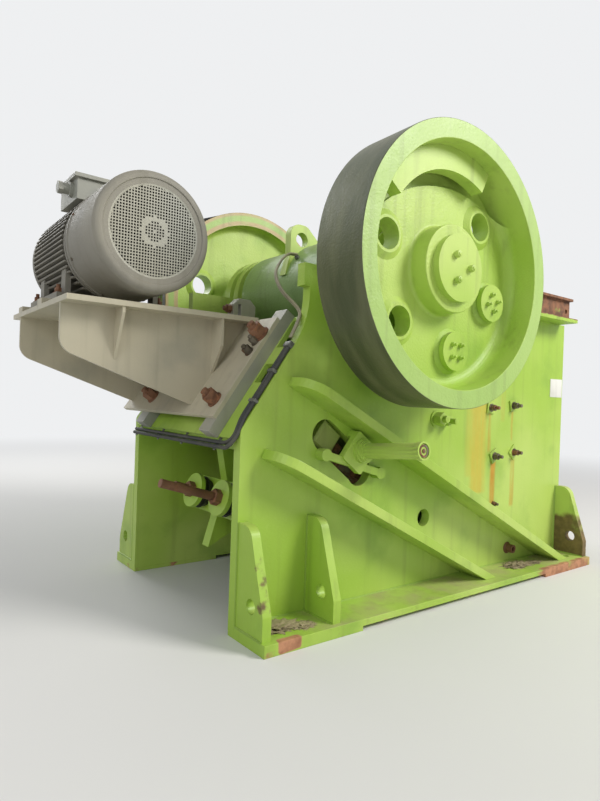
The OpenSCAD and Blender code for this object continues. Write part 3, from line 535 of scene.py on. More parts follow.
FINISHES: tuple[Finish, ...] = (
    Paint("green_paint"),
    Paint("green_side", runs=CHEEK_RUNS, streaks=0.35),
    Paint("green_foot", rust=RUST_PALE, patches=FOOT_RUST, dusty=0.95),
    Paint("green_gusset", rust=RUST_DULL, patches=GUSSET_RUST),
    Paint("green_rim", patches=RIM_RUST, streaks=0.9),
    Paint("green_casting", grain=0.0022, gloss=0.5),
    WheelPaint("green_wheel", grain=0.0018, gloss=0.46, dusty=0.35),
    WheelPaint("green_belt_wheel", grain=0.0018, gloss=0.46, dusty=0.35, grooved=True),
    Metal("manganese_steel", bright=srgb(104, 92, 80), dull=srgb(74, 62, 52), rust=0.75,
          metallic=0.5, rough=0.5),
    Metal("bare_iron", bright=srgb(112, 106, 82), dull=srgb(84, 74, 52), rust=0.6, metallic=0.4,
          rough=0.55, grain=0.0003),
    Metal("rusty_steel", bright=srgb(138, 99, 73), dull=srgb(114, 80, 58), rust=0.45,
          metallic=0.2, rough=0.62, grain=0.00012),
    Metal("turned_steel", rust=0.15, rough=0.36),
    Metal("bolt_steel", bright=srgb(124, 116, 100), dull=srgb(84, 76, 62), rust=0.35,
          metallic=0.5, rough=0.5, grain=0.0001),
    BufferFinish("buffer_rubber", chips=0.4),
    Metal("rust_dirt", bright=srgb(156, 144, 112), dull=srgb(126, 114, 88), rust=0.1,
          metallic=0.0, rough=0.85, grain=0.0006),
    Paint("weld", coat=srgb(138, 170, 58), faded=srgb(152, 180, 80), deep=srgb(104, 140, 46),
          grain=0.003, dusty=0.2),
    Rubber("belt_rubber"),
    Rubber("hose_rubber", srgb(50, 52, 50), srgb(104, 102, 88), 0.5),
    Rubber("tube_plastic", srgb(142, 136, 112), srgb(176, 168, 136), 0.6),
    Metal("clip_steel", srgb(128, 130, 122), srgb(92, 94, 88), 0.05, 0.4),
    Paint("green_wedge", coat=srgb(116, 136, 58), faded=srgb(150, 152, 88), deep=srgb(82, 96, 44),
          gloss=0.55, streaks=0.7,
          patches=(Patch((-1.2, -0.7, 0.5), (-0.3, 0.7, 1.2), 0.1, 0.55, 9.0),)),
    Paint("green_barrel", coat=srgb(120, 156, 78), faded=srgb(146, 176, 110),
          deep=srgb(86, 124, 66), gloss=0.36, grain=0.0018),
    Paint("grey_paint", coat=srgb(150, 151, 141), faded=srgb(170, 167, 150),
          deep=srgb(122, 128, 125), gloss=0.42, streaks=0.35, chips=0.5, dusty=0.5),
    Paint("grey_bracket", coat=srgb(178, 172, 150), faded=srgb(192, 184, 160),
          deep=srgb(150, 148, 134), gloss=0.45, streaks=0.4, chips=0.6, dusty=0.5),
    Paint("grey_casting", coat=srgb(126, 123, 113), faded=srgb(144, 140, 127),
          deep=srgb(102, 101, 97), gloss=0.6, grain=0.0008, streaks=0.4, chips=0.3, dusty=0.55),
    # Near-black paint for the cooling fan: painted shade, standing for the dark inside the motor
    # cowl seen through the grille.
    Paint("fan_painted_shade", coat=srgb(52, 52, 54), faded=srgb(60, 58, 58), deep=srgb(44, 44, 46),
          chips=0.0),
    Paint("label_white", coat=srgb(222, 222, 216), faded=srgb(208, 206, 198),
          deep=srgb(190, 188, 178), gloss=0.4, grain=0.0001, chips=0.2, streaks=0.3),
)


class Palette:
    """Every finish of the machine, made once and handed out by slot name."""

    def __init__(self) -> None:
        """Makes the materials."""
        self.materials = {finish.name: finish.build() for finish in FINISHES}
        LOG.info("made %d finishes", len(self.materials))

    def __getitem__(self, name: str) -> bpy.types.Material:
        """The material of that name."""
        return self.materials[name]

    def cover(self, node: bpy.types.Object, name: str) -> None:
        """Puts a finish on a node of the solid model."""
        node.data.materials.clear()
        node.data.materials.append(self.materials[name])


@dataclass(frozen=True)
class Softening:
    """Modifiers that round a solid's sharp edges; its mesh stays as it is."""

    width: float = 0.0025
    steps: int = 2
    sharper_than: float = 50.0
    join: float = 0.00001

    def apply(self, node: bpy.types.Object) -> None:
        """Adds the modifiers to a node."""
        weld = node.modifiers.new("joined", "WELD")
        weld.merge_threshold = self.join
        bevel = node.modifiers.new("rounded", "BEVEL")
        bevel.width = self.width
        bevel.segments = self.steps
        bevel.limit_method = "ANGLE"
        bevel.angle_limit = math.radians(self.sharper_than)
        shade = node.modifiers.new("shaded", "WEIGHTED_NORMAL")
        shade.keep_sharp = True


# Mesh making


def turned_to(axis: Sequence[float], centre: Sequence[float], spin: float = 0.0) -> Matrix:
    """A placing that turns +Z to an axis.

    Args:
        axis: Direction that +Z is turned to.
        centre: Where the origin goes.
        spin: Turn about the axis first, in degrees.

    Returns:
        The placing matrix.
    """
    turn = Vector(axis).to_track_quat("Z", "Y").to_matrix().to_4x4()
    around = Matrix.Rotation(math.radians(spin), 4, "Z")
    return Matrix.Translation(Vector(centre)) @ turn @ around


def smooth_route(points: Sequence[Point], per_span: int = 8) -> list[Vector]:
    """A smooth line through points.

    Args:
        points: What the line passes through.
        per_span: Steps between two points.

    Returns:
        The points of the line.
    """
    knots = [Vector(p) for p in points]
    knots = [2 * knots[0] - knots[1], *knots, 2 * knots[-1] - knots[-2]]
    route = []
    for a, b, c, d in zip(knots, knots[1:], knots[2:], knots[3:]):
        second, third = 2 * a - 5 * b + 4 * c - d, 3 * b - a - 3 * c + d
        for i in range(per_span):
            t = i / per_span
            route.append(0.5 * (2 * b + (c - a) * t + second * t * t + third * t**3))
    route.append(knots[-2])
    return route


@dataclass(frozen=True)
class Bolt:
    """A hexagon nut with its stud and round washer; an absent one is 0.

    The shares are of the width across the flats.
    """

    across: float
    stud: float = 0.0
    washer: float = 0.0
    nut_share: float = 0.8
    corner_share: float = 0.577
    bevel_share: float = 0.06
    washer_share: float = 0.1
    stud_share: float = 0.31
    tip_share: float = 0.05


class Forge:
    """A mesh under construction, which becomes one piece after another."""

    def __init__(self, palette: Palette) -> None:
        """Starts with an empty mesh and the finishes to choose from."""
        self.palette = palette
        self.mesh = bmesh.new()

    def rod(self, centre: Sequence[float], axis: Sequence[float], radius: float, length: float,
            sides: int = 24, chamfer: float = 0.0, spin: float = 0.0) -> None:
        """Adds a round or many-sided bar.

        Args:
            centre: The middle of its foot.
            axis: The way that it runs.
            radius: Its radius, out to the corners.
            length: Its length.
            sides: How many sides it has.
            chamfer: Width of the bevel at its outer end.
            spin: Turn about its axis, in degrees.
        """
        place = turned_to(axis, centre, spin) @ Matrix.Translation((0, 0, length / 2))
        made = bmesh.ops.create_cone(
            self.mesh, cap_ends=True, segments=sides, radius1=radius, radius2=radius,
            depth=length, matrix=place,
        )
        if chamfer:
            way = Vector(axis).normalized()
            end = Vector(centre) + way * length
            ring = [v for v in made["verts"] if abs((v.co - end).dot(way)) < length * 0.01]
            self.bevel([e for v in ring for e in v.link_edges if e.other_vert(v) in ring], chamfer)

    def box(self, centre: Sequence[float], size: Sequence[float], turn: Matrix | None = None,
            chamfer: float = 0.0) -> None:
        """Adds a block, turned about its centre and bevelled all round."""
        place = Matrix.Translation(Vector(centre)) @ (turn or Matrix.Identity(4))
        place = place @ Matrix.Diagonal((*size, 1.0))
        made = bmesh.ops.create_cube(self.mesh, size=1.0, matrix=place)
        if chamfer:
            self.bevel([e for v in made["verts"] for e in v.link_edges], chamfer)

    def bevel(self, edges: Sequence[bmesh.types.BMEdge], width: float, steps: int = 2) -> None:
        """Rounds edges; one that is given twice counts once."""
        bmesh.ops.bevel(
            self.mesh, geom=list(dict.fromkeys(edges)), offset=width, segments=steps,
            profile=0.5, affect="EDGES", material=-1, clamp_overlap=True,
        )

    def turned(self, profile: Sequence[Pair], axis: Sequence[float],
               centre: Sequence[float], steps: int = 64) -> None:
        """Spins a closed or open outline of radius and height about an axis."""
        before = set(self.mesh.verts)
        verts = [self.mesh.verts.new((r, 0.0, h)) for r, h in profile]
        edges = [self.mesh.edges.new(pair) for pair in zip(verts, verts[1:] + verts[:1])]
        bmesh.ops.spin(
            self.mesh, geom=verts + edges, cent=(0, 0, 0), axis=(0, 0, 1), angle=math.tau,
            steps=steps, use_merge=True,
        )
        fresh = [v for v in self.mesh.verts if v not in before]
        bmesh.ops.transform(self.mesh, matrix=turned_to(axis, centre), verts=fresh)

    def tube(self, route: Sequence[Vector], radius: float, sides: int = 10) -> None:
        """Sweeps a round tube along a route and caps it."""
        ahead = [
            (route[min(i + 1, len(route) - 1)] - route[max(i - 1, 0)]).normalized()
            for i in range(len(route))
        ]
        ring = bmesh.ops.create_circle(
            self.mesh, segments=sides, radius=radius, cap_ends=True,
            matrix=turned_to(ahead[0], route[0]),
        )["verts"]
        face = next(f for f in ring[0].link_faces if len(f.verts) == sides)
        turn = ahead[0]
        for i, point in enumerate(route[1:], 1):
            out = bmesh.ops.extrude_face_region(self.mesh, geom=[face])["geom"]
            verts = [g for g in out if isinstance(g, bmesh.types.BMVert)]
            old = face
            face = next(g for g in out if isinstance(g, bmesh.types.BMFace))
            if i > 1:
                bmesh.ops.delete(self.mesh, geom=[old], context="FACES_ONLY")
            swing = turn.rotation_difference(ahead[i]).to_matrix().to_4x4()
            move = Matrix.Translation(point) @ swing @ Matrix.Translation(-route[i - 1])
            bmesh.ops.transform(self.mesh, matrix=move, verts=verts)
            turn = ahead[i]

    def pile(self, centre: Point, size: Point, seed: float) -> None:
        """Adds a low heap of dirt whose lower half lies in what it rests on."""
        heap = bmesh.ops.create_icosphere(self.mesh, subdivisions=5, radius=1.0)["verts"]
        for v in heap:
            way = v.co.copy()
            lump = noise.fractal(way * 4.1 + Vector((seed, 0, 0)), 0.6, 2.0, 6)
            v.co = Vector(centre) + Vector(w * s * (1 + 0.5 * lump) for w, s in zip(way, size))

    def nut(self, centre: Sequence[float], axis: Sequence[float], bolt: Bolt,
            spin: float = 0.0) -> None:
        """Adds a nut with its stud and washer.

        Args:
            centre: The point on the surface that it bears on.
            axis: The way out of the surface.
            bolt: Its sizes.
            spin: Turn about the axis, in degrees.
        """
        foot, way = Vector(centre), Vector(axis).normalized()
        across = bolt.across
        if bolt.washer:
            self.rod(foot, way, bolt.washer, across * bolt.washer_share, 28)
            foot = foot + way * across * bolt.washer_share
        high = across * bolt.nut_share
        self.rod(foot, way, across * bolt.corner_share, high, 6,
                 chamfer=across * bolt.bevel_share, spin=spin)
        if bolt.stud:
            self.rod(foot + way * high, way, across * bolt.stud_share, bolt.stud, 20,
                     chamfer=across * bolt.tip_share)

    def piece(self, name: str, finish: str, slot: str = "", body: str = "frame",
              angle: float = 35.0) -> bpy.types.Object:
        """Ends the mesh as an object that rides on a body, and clears it for the next.

        Args:
            name: The piece's name.
            finish: The name of its finish.
            slot: The record's material slot for it, if that isn't the finish's name; not used.
            body: The body that carries it.
            angle: Edges sharper than this stay sharp, in degrees.

        Returns:
            The object.
        """
        bmesh.ops.recalc_face_normals(self.mesh, faces=self.mesh.faces)
        data = bpy.data.meshes.new(name)
        self.mesh.to_mesh(data)
        self.mesh.clear()
        data.shade_smooth()
        data.set_sharp_from_angle(angle=math.radians(angle))
        data.materials.append(self.palette[finish])
        made = bpy.data.objects.new(name, data)
        bpy.context.scene.collection.objects.link(made)
        slot = slot or finish
        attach(made, body)
        LOG.info("%s: %d faces", name, len(data.polygons))
        return made


# Sub-assemblies


@dataclass
class SideDress:
    """Bolts of the cheek plates, the stub and other small parts on one side plate.

    A spin is the first one's turn and the step to the next, in degrees.
    """

    side: Side
    columns: Outline = ((0.544, 1.180), (0.818, 1.200), (0.602, 0.837), (0.840, 0.858))
    square: Pair = (0.058, 0.011)
    square_spin: Pair = (39.0, 17.0)
    cheek_bolt: Bolt = Bolt(0.040, stud=0.03, washer=0.028)
    cheek_spin: Pair = (17.0, 23.0)
    small: Pair = (0.615, 0.498)
    small_bolt: Bolt = Bolt(0.03, stud=0.02)
    seats: tuple[tuple[float, float, float, Bolt], ...] = (
        (-0.035, 1.098, 8.0, Bolt(0.075, stud=0.03, washer=0.055)),
        (0.045, 1.085, 31.0, Bolt(0.06, stud=0.05, washer=0.046)),
    )
    stub: Pair = (0.807, 0.160)
    stub_outline: Outline = (
        (0.019, 0.0), (0.042, 0.0), (0.042, 0.004), (0.034, 0.011), (0.03, 0.012),
        (0.03, 0.055), (0.019, 0.055),
    )
    plate_end: float = 1.49
    gusset_x: tuple[float, ...] = (-1.495, -1.065, 1.445)
    gusset_thick: float = 0.05
    gusset_high: float = 0.575
    gusset_out: float = 0.235
    rib_starts: Outline = ((-1.354, 0.935), (-1.2, 1.308))
    rib_fall: float = 26.6
    rib_inset: Pair = (0.02, 0.01)
    foot_z: float = 0.06
    bead: float = 0.007
    bead_step: float = 0.05
    cylinder_end: Point = (-0.7446, 1.1899, 0.9566)
    cylinder_way: Pair = (0.9954, 0.0958)
    collar_outline: Outline = ((0.023, 0.0), (0.0325, 0.0), (0.0325, 0.0035), (0.023, 0.0035))
    grease_nipple: Pair = (0.012, 0.004)

    def at(self, x: float, out: float, z: float) -> Point:
        """A point that far out of the side plate's face."""
        return (x, self.side.value * (LAYOUT.plate_y + out), z)

    def welds(self, forge: Forge) -> None:
        """Adds beads where flange, ribs and gussets meet the side plate."""
        foot, end = self.foot_z, self.plate_end
        lines = [(self.at(-end, 0.0, foot), self.at(end, 0.0, foot))]
        turn = math.radians(self.rib_fall)
        back, down = self.rib_inset
        for x, z in self.rib_starts:
            run = (z - foot) / math.sin(turn) - back
            tail = self.at(x + run * math.cos(turn), 0.0, z - run * math.sin(turn))
            lines.append((self.at(x + back, 0.0, z - down), tail))
        for x in self.gusset_x:
            for edge in (x, x + self.gusset_thick):
                if edge > end:
                    continue
                lines.append((self.at(edge, 0.0, foot), self.at(edge, 0.0, self.gusset_high)))
                lines.append((self.at(edge, 0.0, foot), self.at(edge, self.gusset_out, foot)))
        for start, tail in lines:
            steps = max(2, round((Vector(tail) - Vector(start)).length / self.bead_step))
            route = [Vector(start).lerp(Vector(tail), i / steps) for i in range(steps + 1)]
            forge.tube(route, self.bead, 8)
        name = f"weld_beads_{self.side.name.lower()}"
        forge.piece(name, "weld", "green_paint")

    def build(self, forge: Forge) -> None:
        """Adds the fastenings of this side."""
        name = self.side.name.lower()
        way = (0.0, float(self.side.value), 0.0)
        y = self.side.value * LAYOUT.plate_y
        radius, thick = self.square
        first, step = self.square_spin
        for i, (x, z) in enumerate(self.columns):
            forge.rod((x, y, z), way, radius, thick, 4, chamfer=0.002, spin=first + step * i)
        forge.piece(f"cheek_washers_{name}", "green_paint")
        first, step = self.cheek_spin
        for i, (x, z) in enumerate(self.columns):
            forge.nut((x, y + way[1] * thick, z), way, self.cheek_bolt, first + step * i)
        forge.nut((self.small[0], y, self.small[1]), way, self.small_bolt, spin=12.0)
        forge.piece(f"cheek_bolts_{name}", "bolt_steel", "rusty_steel")
        forge.turned(self.stub_outline, way, (self.stub[0], y, self.stub[1]), 40)
        forge.piece(f"side_stub_{name}", "rusty_steel")
        for x, z, spin, bolt in self.seats:
            forge.nut((x, y, z), way, bolt, spin)
        forge.piece(f"seat_bolts_{name}", "green_paint")
        end_x, end_y, end_z = self.cylinder_end
        spot = (end_x, self.side.value * end_y, end_z)
        out = (0.0, self.side.value * self.cylinder_way[0], self.cylinder_way[1])
        forge.turned(self.collar_outline, out, spot, 48)
        forge.rod(spot, out, *self.grease_nipple, 6)
        forge.piece(f"cylinder_end_{name}", "bolt_steel", "rusty_steel")
        self.welds(forge)


@dataclass
class RearDress:
    """Clamp bolts of the motor bracket, grease hoses, dirt and the bare label plate."""

    clamps: tuple[Point, ...] = (
        (0.565, 0.44, 0.078), (0.515, 0.43, 0.044), (0.445, 0.43, 0.044), (0.120, 0.40, 0.07),
    )
    clamp_finishes: tuple[tuple[str, int, int], ...] = (("rusty_steel", 0, 3), ("bolt_steel", 1, 2))
    clamp_shares: Pair = (0.35, 0.66)
    back_face: float = 0.08005
    lug_bolt: Point = (-1.188, 0.0, 1.735)
    lug_nut: Pair = (0.026, 0.034)
    lug_stud: Pair = (0.015, 0.052)
    motor_bolt: Bolt = Bolt(0.034, stud=0.02, washer=0.025)
    motor_feet_x: float = 0.295
    motor_feet_y: Pair = (0.249, 0.705)
    motor_feet_z: float = 1.73
    hose_radius: float = 0.011
    hose_out: float = 0.0118
    hose_stops: tuple[float, ...] = (0.54, 0.42, 0.3, 0.18, 0.07)
    hose_bend: Pair = (-1.5105, 1.005)
    hose_turn: Point = (0.006, 0.03, 0.006)
    hose_across: tuple[float, ...] = (-0.4, -0.1, 0.2, 0.56)
    hose_rows: tuple[Point, ...] = ((-0.633, -1.541, 0.962), (-0.657, -1.553, 0.941))
    tube_radius: float = 0.007
    tube_apart: float = 0.013
    tube_way: tuple[Point, ...] = (
        (-0.760, -0.08, 2.118), (-0.862, -0.13, 2.092), (-0.969, -0.20, 2.014),
        (-1.067, -0.30, 1.909), (-1.104, -0.42, 1.793), (-1.086, -0.56, 1.675),
        (-1.140, -0.634, 1.605), (-1.196, -0.645, 1.505),
    )
    edge_clips: Outline = ((0.535, 0.034), (0.36, 0.018), (0.17, 0.018))
    edge_clip_place: Pair = (-0.645, 0.0135)
    edge_clip_size: Pair = (0.058, 0.028)
    rear_clips: tuple[float, ...] = (-0.5, -0.12, 0.2, 0.54)
    rear_clip_place: Pair = (-0.081, -0.021)
    rear_clip_size: Point = (0.076, 0.022, 0.006)
    tube_block: Point = (-0.740, -0.08, 2.100)
    tube_block_way: Point = (-0.7, -0.25, 0.45)
    tube_block_size: Pair = (0.016, 0.034)
    heaps: tuple[tuple[Point, Point, float], ...] = (
        ((-1.32, -0.79, 0.058), (0.11, 0.07, 0.018), 3.0),
        ((-1.2, -0.84, 0.058), (0.07, 0.045, 0.010), 7.0),
        ((0.78, -0.78, 0.058), (0.13, 0.06, 0.016), 11.0),
        ((0.96, -0.80, 0.058), (0.07, 0.04, 0.010), 19.0),
    )
    label: tuple[Point, Point] = ((1.405, -0.676, 1.3485), (0.172, 0.003, 0.143))

    def bolts(self, forge: Forge) -> None:
        """Adds the bolts that clamp the bracket to its rails, and the motor's."""
        stud, washer = self.clamp_shares
        for finish, *rows in self.clamp_finishes:
            for sign in (-1, 1):
                for i in rows:
                    along, y, across = self.clamps[i]
                    x, z = LAYOUT.on_slope(along, self.back_face)
                    bolt = Bolt(across, stud=across * stud, washer=across * washer)
                    forge.nut((x, sign * y, z), LAYOUT.off_slope(), bolt, spin=19 * i)
            forge.piece(f"clamp_bolts_{finish}", finish, "rusty_steel")
        forge.rod(self.lug_bolt, (-1, 0, 0), *self.lug_nut, 6, chamfer=0.003)
        forge.rod(self.lug_bolt, (-1, 0, 0), *self.lug_stud, 20, chamfer=0.002)
        middle = LAYOUT.motor[0]
        for x in (middle - self.motor_feet_x, middle + self.motor_feet_x):
            for y in self.motor_feet_y:
                foot = (x, y, self.motor_feet_z)
                forge.nut(foot, (0, 0, 1), self.motor_bolt, spin=x * 900)
        forge.piece("motor_bolts", "rusty_steel")

    def hoses(self, forge: Forge) -> None:
        """Adds the two grease hoses and the tubes that feed them."""
        bend_x, bend_z = self.hose_bend
        turn_x, turn_y, turn_z = self.hose_turn
        for y, x, z in self.hose_rows:
            down = [LAYOUT.on_slope(s, self.hose_out) for s in self.hose_stops]
            route = [(px, y, pz) for px, pz in down]
            route += [(bend_x, y, bend_z), (x + turn_x, y + turn_y, z + turn_z)]
            route += [(x, y + 3 * turn_y, z)] + [(x, v, z) for v in self.hose_across]
            forge.tube(smooth_route(route, 8), self.hose_radius, 12)
        forge.piece("grease_hoses", "hose_rubber", "belt_rubber", angle=60.0)
        for shift in (-self.tube_apart, self.tube_apart):
            route = [(x + shift * 0.4, y + shift, z + abs(shift)) for x, y, z in self.tube_way]
            forge.tube(smooth_route(route, 8), self.tube_radius, 12)
        forge.piece("grease_tubes", "tube_plastic", "belt_rubber", angle=60.0)

    def clips(self, forge: Forge) -> None:
        """Adds the clips that hold the hoses, and the block where the tubes start."""
        tilt = Matrix.Rotation(math.radians(-LAYOUT.slope_angle), 4, "Y")
        y, out = self.edge_clip_place
        for along, long in self.edge_clips:
            x, z = LAYOUT.on_slope(along, out)
            forge.box((x, y, z), (long, *self.edge_clip_size), tilt, chamfer=0.003)
        x, z = LAYOUT.on_slope(*self.rear_clip_place)
        for y in self.rear_clips:
            forge.box((x, y, z), self.rear_clip_size, tilt, chamfer=0.0015)
        forge.rod(self.tube_block, self.tube_block_way, *self.tube_block_size, 6, chamfer=0.002)
        forge.piece("hose_clips", "clip_steel", "grey_paint")

    def build(self, forge: Forge) -> None:
        """Adds everything at the rear and on the near side."""
        self.bolts(forge)
        self.hoses(forge)
        self.clips(forge)
        for centre, size, seed in self.heaps:
            forge.pile(centre, size, seed)
        forge.piece("dirt_heaps", "rust_dirt", "rusty_steel", angle=80.0)
        forge.box(*self.label, chamfer=0.001)
        forge.piece("bare_label", "label_white", "green_paint")


@dataclass
class WheelDress:
    """Studs and bolts on the outer face of one flywheel."""

    side: Side
    hub_bolt: Bolt = Bolt(0.034, stud=0.005)
    hub_circle: float = 0.077
    hub_angles: tuple[float, ...] = (5.0, 125.0, 245.0)
    plate_bolt: Bolt = Bolt(0.024, stud=0.014)
    plate_circle: float = 0.048
    plate_bolts: int = 4
    plate_first: float = 30.0
    plate_step: float = 60.0

    def place(self, radius: float, angle: float, y: float) -> Point:
        """A point on the wheel, from the shaft outwards."""
        turn = math.radians(angle)
        return (
            LAYOUT.shaft[0] + radius * math.cos(turn),
            self.side.value * y,
            LAYOUT.shaft[1] + radius * math.sin(turn),
        )

    def build(self, forge: Forge) -> None:
        """Adds hub studs and the bolts of the weight plates."""
        way = (0.0, float(self.side.value), 0.0)
        for angle in self.hub_angles:
            spot = self.place(self.hub_circle, angle, LAYOUT.cap_y)
            forge.nut(spot, way, self.hub_bolt, spin=angle)
        for k in (0, 1):
            middle = LAYOUT.weight_angle + 180 + self.plate_step * k
            centre = Vector(self.place(LAYOUT.web_circle, middle, LAYOUT.boss_y))
            for i in range(self.plate_bolts):
                turn = math.radians(middle + self.plate_first + 360 / self.plate_bolts * i)
                out = Vector((math.cos(turn), 0.0, math.sin(turn)))
                spot = centre + out * self.plate_circle
                forge.nut(spot, way, self.plate_bolt, spin=20 * i)
        name = self.side.name.lower()
        forge.piece(f"wheel_bolts_{name}", "green_paint", body="flywheel_shaft")


@dataclass
class MotorDress:
    """The motor's grille, screws and cooling fan, whose near-black colour is painted shade behind
    the grille.
    """

    holes: int = 31
    bar_share: float = 0.36
    field_radius: float = 0.229
    plain_ring: Pair = (0.050, 0.075)
    plain_middle: float = 0.01
    sheet: float = 0.004
    sheet_in: float = 0.0042
    rim_outline: Outline = ((0.2245, 0.001), (0.2346, 0.0), (0.2346, 0.005), (0.2245, 0.005))
    screws: int = 8
    screw_circle: float = 0.305
    screw_y: float = 0.05
    screw: Pair = (0.009, 0.006)
    fan_hub: Point = (-0.30, 0.055, 0.12)
    fan_disc: Point = (-0.20, 0.25, 0.008)
    blades: int = 9
    blade_middle: float = 0.15
    blade: Point = (0.19, 0.07, 0.006)
    blade_y: float = -0.235

    def grille(self, forge: Forge) -> None:
        """Perforated sheet with square holes round a plain disc."""
        count = 2 * self.holes + 1
        pitch = 2 * self.field_radius / self.holes
        made = bmesh.ops.create_grid(forge.mesh, x_segments=count, y_segments=count, size=0.5)
        start = -self.field_radius + pitch * self.bar_share / 2
        lines = [-self.field_radius]
        for i in range(self.holes):
            lines += [start + i * pitch, start + i * pitch + pitch * (1 - self.bar_share)]
        lines.append(self.field_radius)
        for v in made["verts"]:
            v.co.x, v.co.y = (lines[round((value + 0.5) * count)] for value in (v.co.x, v.co.y))
        inner, outer = self.plain_ring
        doomed = []
        for f in forge.mesh.faces:
            radius = f.calc_center_median().length
            hole = min(e.calc_length() for e in f.edges) > pitch / 2
            solid = inner < radius < outer or radius < self.plain_middle
            if radius > self.field_radius or (hole and not solid):
                doomed.append(f)
        bmesh.ops.delete(forge.mesh, geom=doomed, context="FACES")
        bmesh.ops.solidify(forge.mesh, geom=forge.mesh.faces[:], thickness=self.sheet)
        x, z = LAYOUT.motor
        turn = turned_to((0, 1, 0), (x, LAYOUT.grille_y + self.sheet_in, z))
        bmesh.ops.transform(forge.mesh, matrix=turn, verts=forge.mesh.verts)
        sheet = forge.piece("grille_sheet", "grey_paint")
        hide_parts("motor_grille")

    def build(self, forge: Forge) -> None:
        """Adds the grille, its rim, the screws and the fan, painted near-black as the shade behind
        the grille.
        """
        self.grille(forge)
        x, z = LAYOUT.motor
        axis = (0, 1, 0)
        forge.turned(self.rim_outline, axis, (x, LAYOUT.grille_y, z), 96)
        forge.piece("grille_rim", "grey_paint")
        for i in range(self.screws):
            turn = math.tau * (i + 0.5) / self.screws
            way = (math.cos(turn), 0.0, math.sin(turn))
            spot = (x + self.screw_circle * way[0], self.screw_y, z + self.screw_circle * way[2])
            forge.rod(spot, way, *self.screw, 6, chamfer=0.001)
        forge.piece("cowl_screws", "bolt_steel", "grey_paint")
        # The fan is a real part, but its near-black finish is painted shade behind the grille.
        y, radius, long = self.fan_hub
        forge.rod((x, y, z), axis, radius, long, 32, chamfer=0.008)
        y, radius, long = self.fan_disc
        forge.rod((x, y, z), axis, radius, long, 64)
        for i in range(self.blades):
            turn = Matrix.Rotation(math.tau * i / self.blades, 4, "Y")
            spot = Vector((x, self.blade_y, z)) + turn @ Vector((self.blade_middle, 0.0, 0.0))
            forge.box(spot, self.blade, turn)
        forge.piece("cooling_fan", "fan_painted_shade", "grey_paint", body="motor_rotor")


@dataclass
class Machine:
    """The whole machine: which finish covers which solid, and what is added to it."""

    palette: Palette
    nodes: dict[str, bpy.types.Object]
    finishes: tuple[tuple[str, str], ...] = (
        ("side_plate", "green_side"),
        ("base_flange", "green_foot"),
        ("gussets", "green_gusset"),
        ("feed_rim", "green_rim"),
        ("flywheel_near", "green_wheel"),
        ("flywheel_far", "green_belt_wheel"),
        ("pitman", "green_barrel"),
        ("wedge_blocks", "green_wedge"),
        ("motor_cowl", "grey_casting"),
        ("motor_bracket", "grey_bracket"),
        ("slide_rails", "grey_bracket"),
    )
    rounded: tuple[str, ...] = (
        "side_plate", "base_flange", "ribs", "gussets", "feed_rim", "motor_bracket",
        "slide_rails", "terminal_box", "adjusting", "rod_bracket", "motor_rails",
    )

    def finish_of(self, name: str, slot: str) -> str:
        """The finish that a node's name starts the row of, or else its slot's."""
        fits = [finish for start, finish in self.finishes if name.startswith(start)]
        return fits[0] if fits else slot

    def dress(self, slots: dict[str, str]) -> None:
        """Covers the solids and builds each sub-assembly's small parts."""
        for name, node in self.nodes.items():
            self.palette.cover(node, self.finish_of(name, slots[name]))
            if name.startswith(self.rounded):
                Softening().apply(node)
        forge = Forge(self.palette)
        for side in Side:
            SideDress(side).build(forge)
            WheelDress(side).build(forge)
        RearDress().build(forge)
        MotorDress().build(forge)


# Studio and camera


@dataclass(frozen=True)
class PhotoCamera:
    """A camera where the photograph was taken."""

    position: Point = (-3.011, -3.132, 1.2)
    yaw: float = 37.275
    pitch: float = -0.242
    roll: float = 2.022
    focal_px: float = 583.13
    long_px: float = 801.0
    sensor: float = 36.0

    def build(self) -> None:
        """Makes the camera and hands it to the scene."""
        yaw, pitch, roll = (math.radians(a) for a in (self.yaw, self.pitch, self.roll))
        ahead = Vector(
            (math.sin(yaw) * math.cos(pitch), math.cos(yaw) * math.cos(pitch), math.sin(pitch))
        )
        right = Vector((math.cos(yaw), -math.sin(yaw), 0.0))
        up = right.cross(ahead)
        across = right * math.cos(roll) + up * math.sin(roll)
        upward = up * math.cos(roll) - right * math.sin(roll)
        data = bpy.data.cameras.new("photo_camera")
        data.sensor_width = self.sensor
        data.lens = self.focal_px / self.long_px * self.sensor
        data.clip_start, data.clip_end = 0.05, 200.0
        camera = bpy.data.objects.new("photo_camera", data)
        turn = Matrix((across, upward, -ahead)).transposed().to_4x4()
        camera.matrix_world = Matrix.Translation(self.position) @ turn
        bpy.context.scene.collection.objects.link(camera)
        bpy.context.scene.camera = camera


@dataclass(frozen=True)
class Lamp:
    """A soft lamp that looks at a point."""

    name: str
    place: Point
    target: Point
    size: float
    power: float
    color: Color = (1.0, 1.0, 1.0)

    def build(self) -> None:
        """Makes the lamp."""
        data = bpy.data.lights.new(self.name, "AREA")
        data.shape = "DISK"
        data.size, data.energy, data.color = self.size, self.power, self.color
        lamp = bpy.data.objects.new(self.name, data)
        lamp.location = self.place
        way = Vector(self.target) - Vector(self.place)
        lamp.rotation_euler = way.to_track_quat("-Z", "Y").to_euler()
        bpy.context.scene.collection.objects.link(lamp)


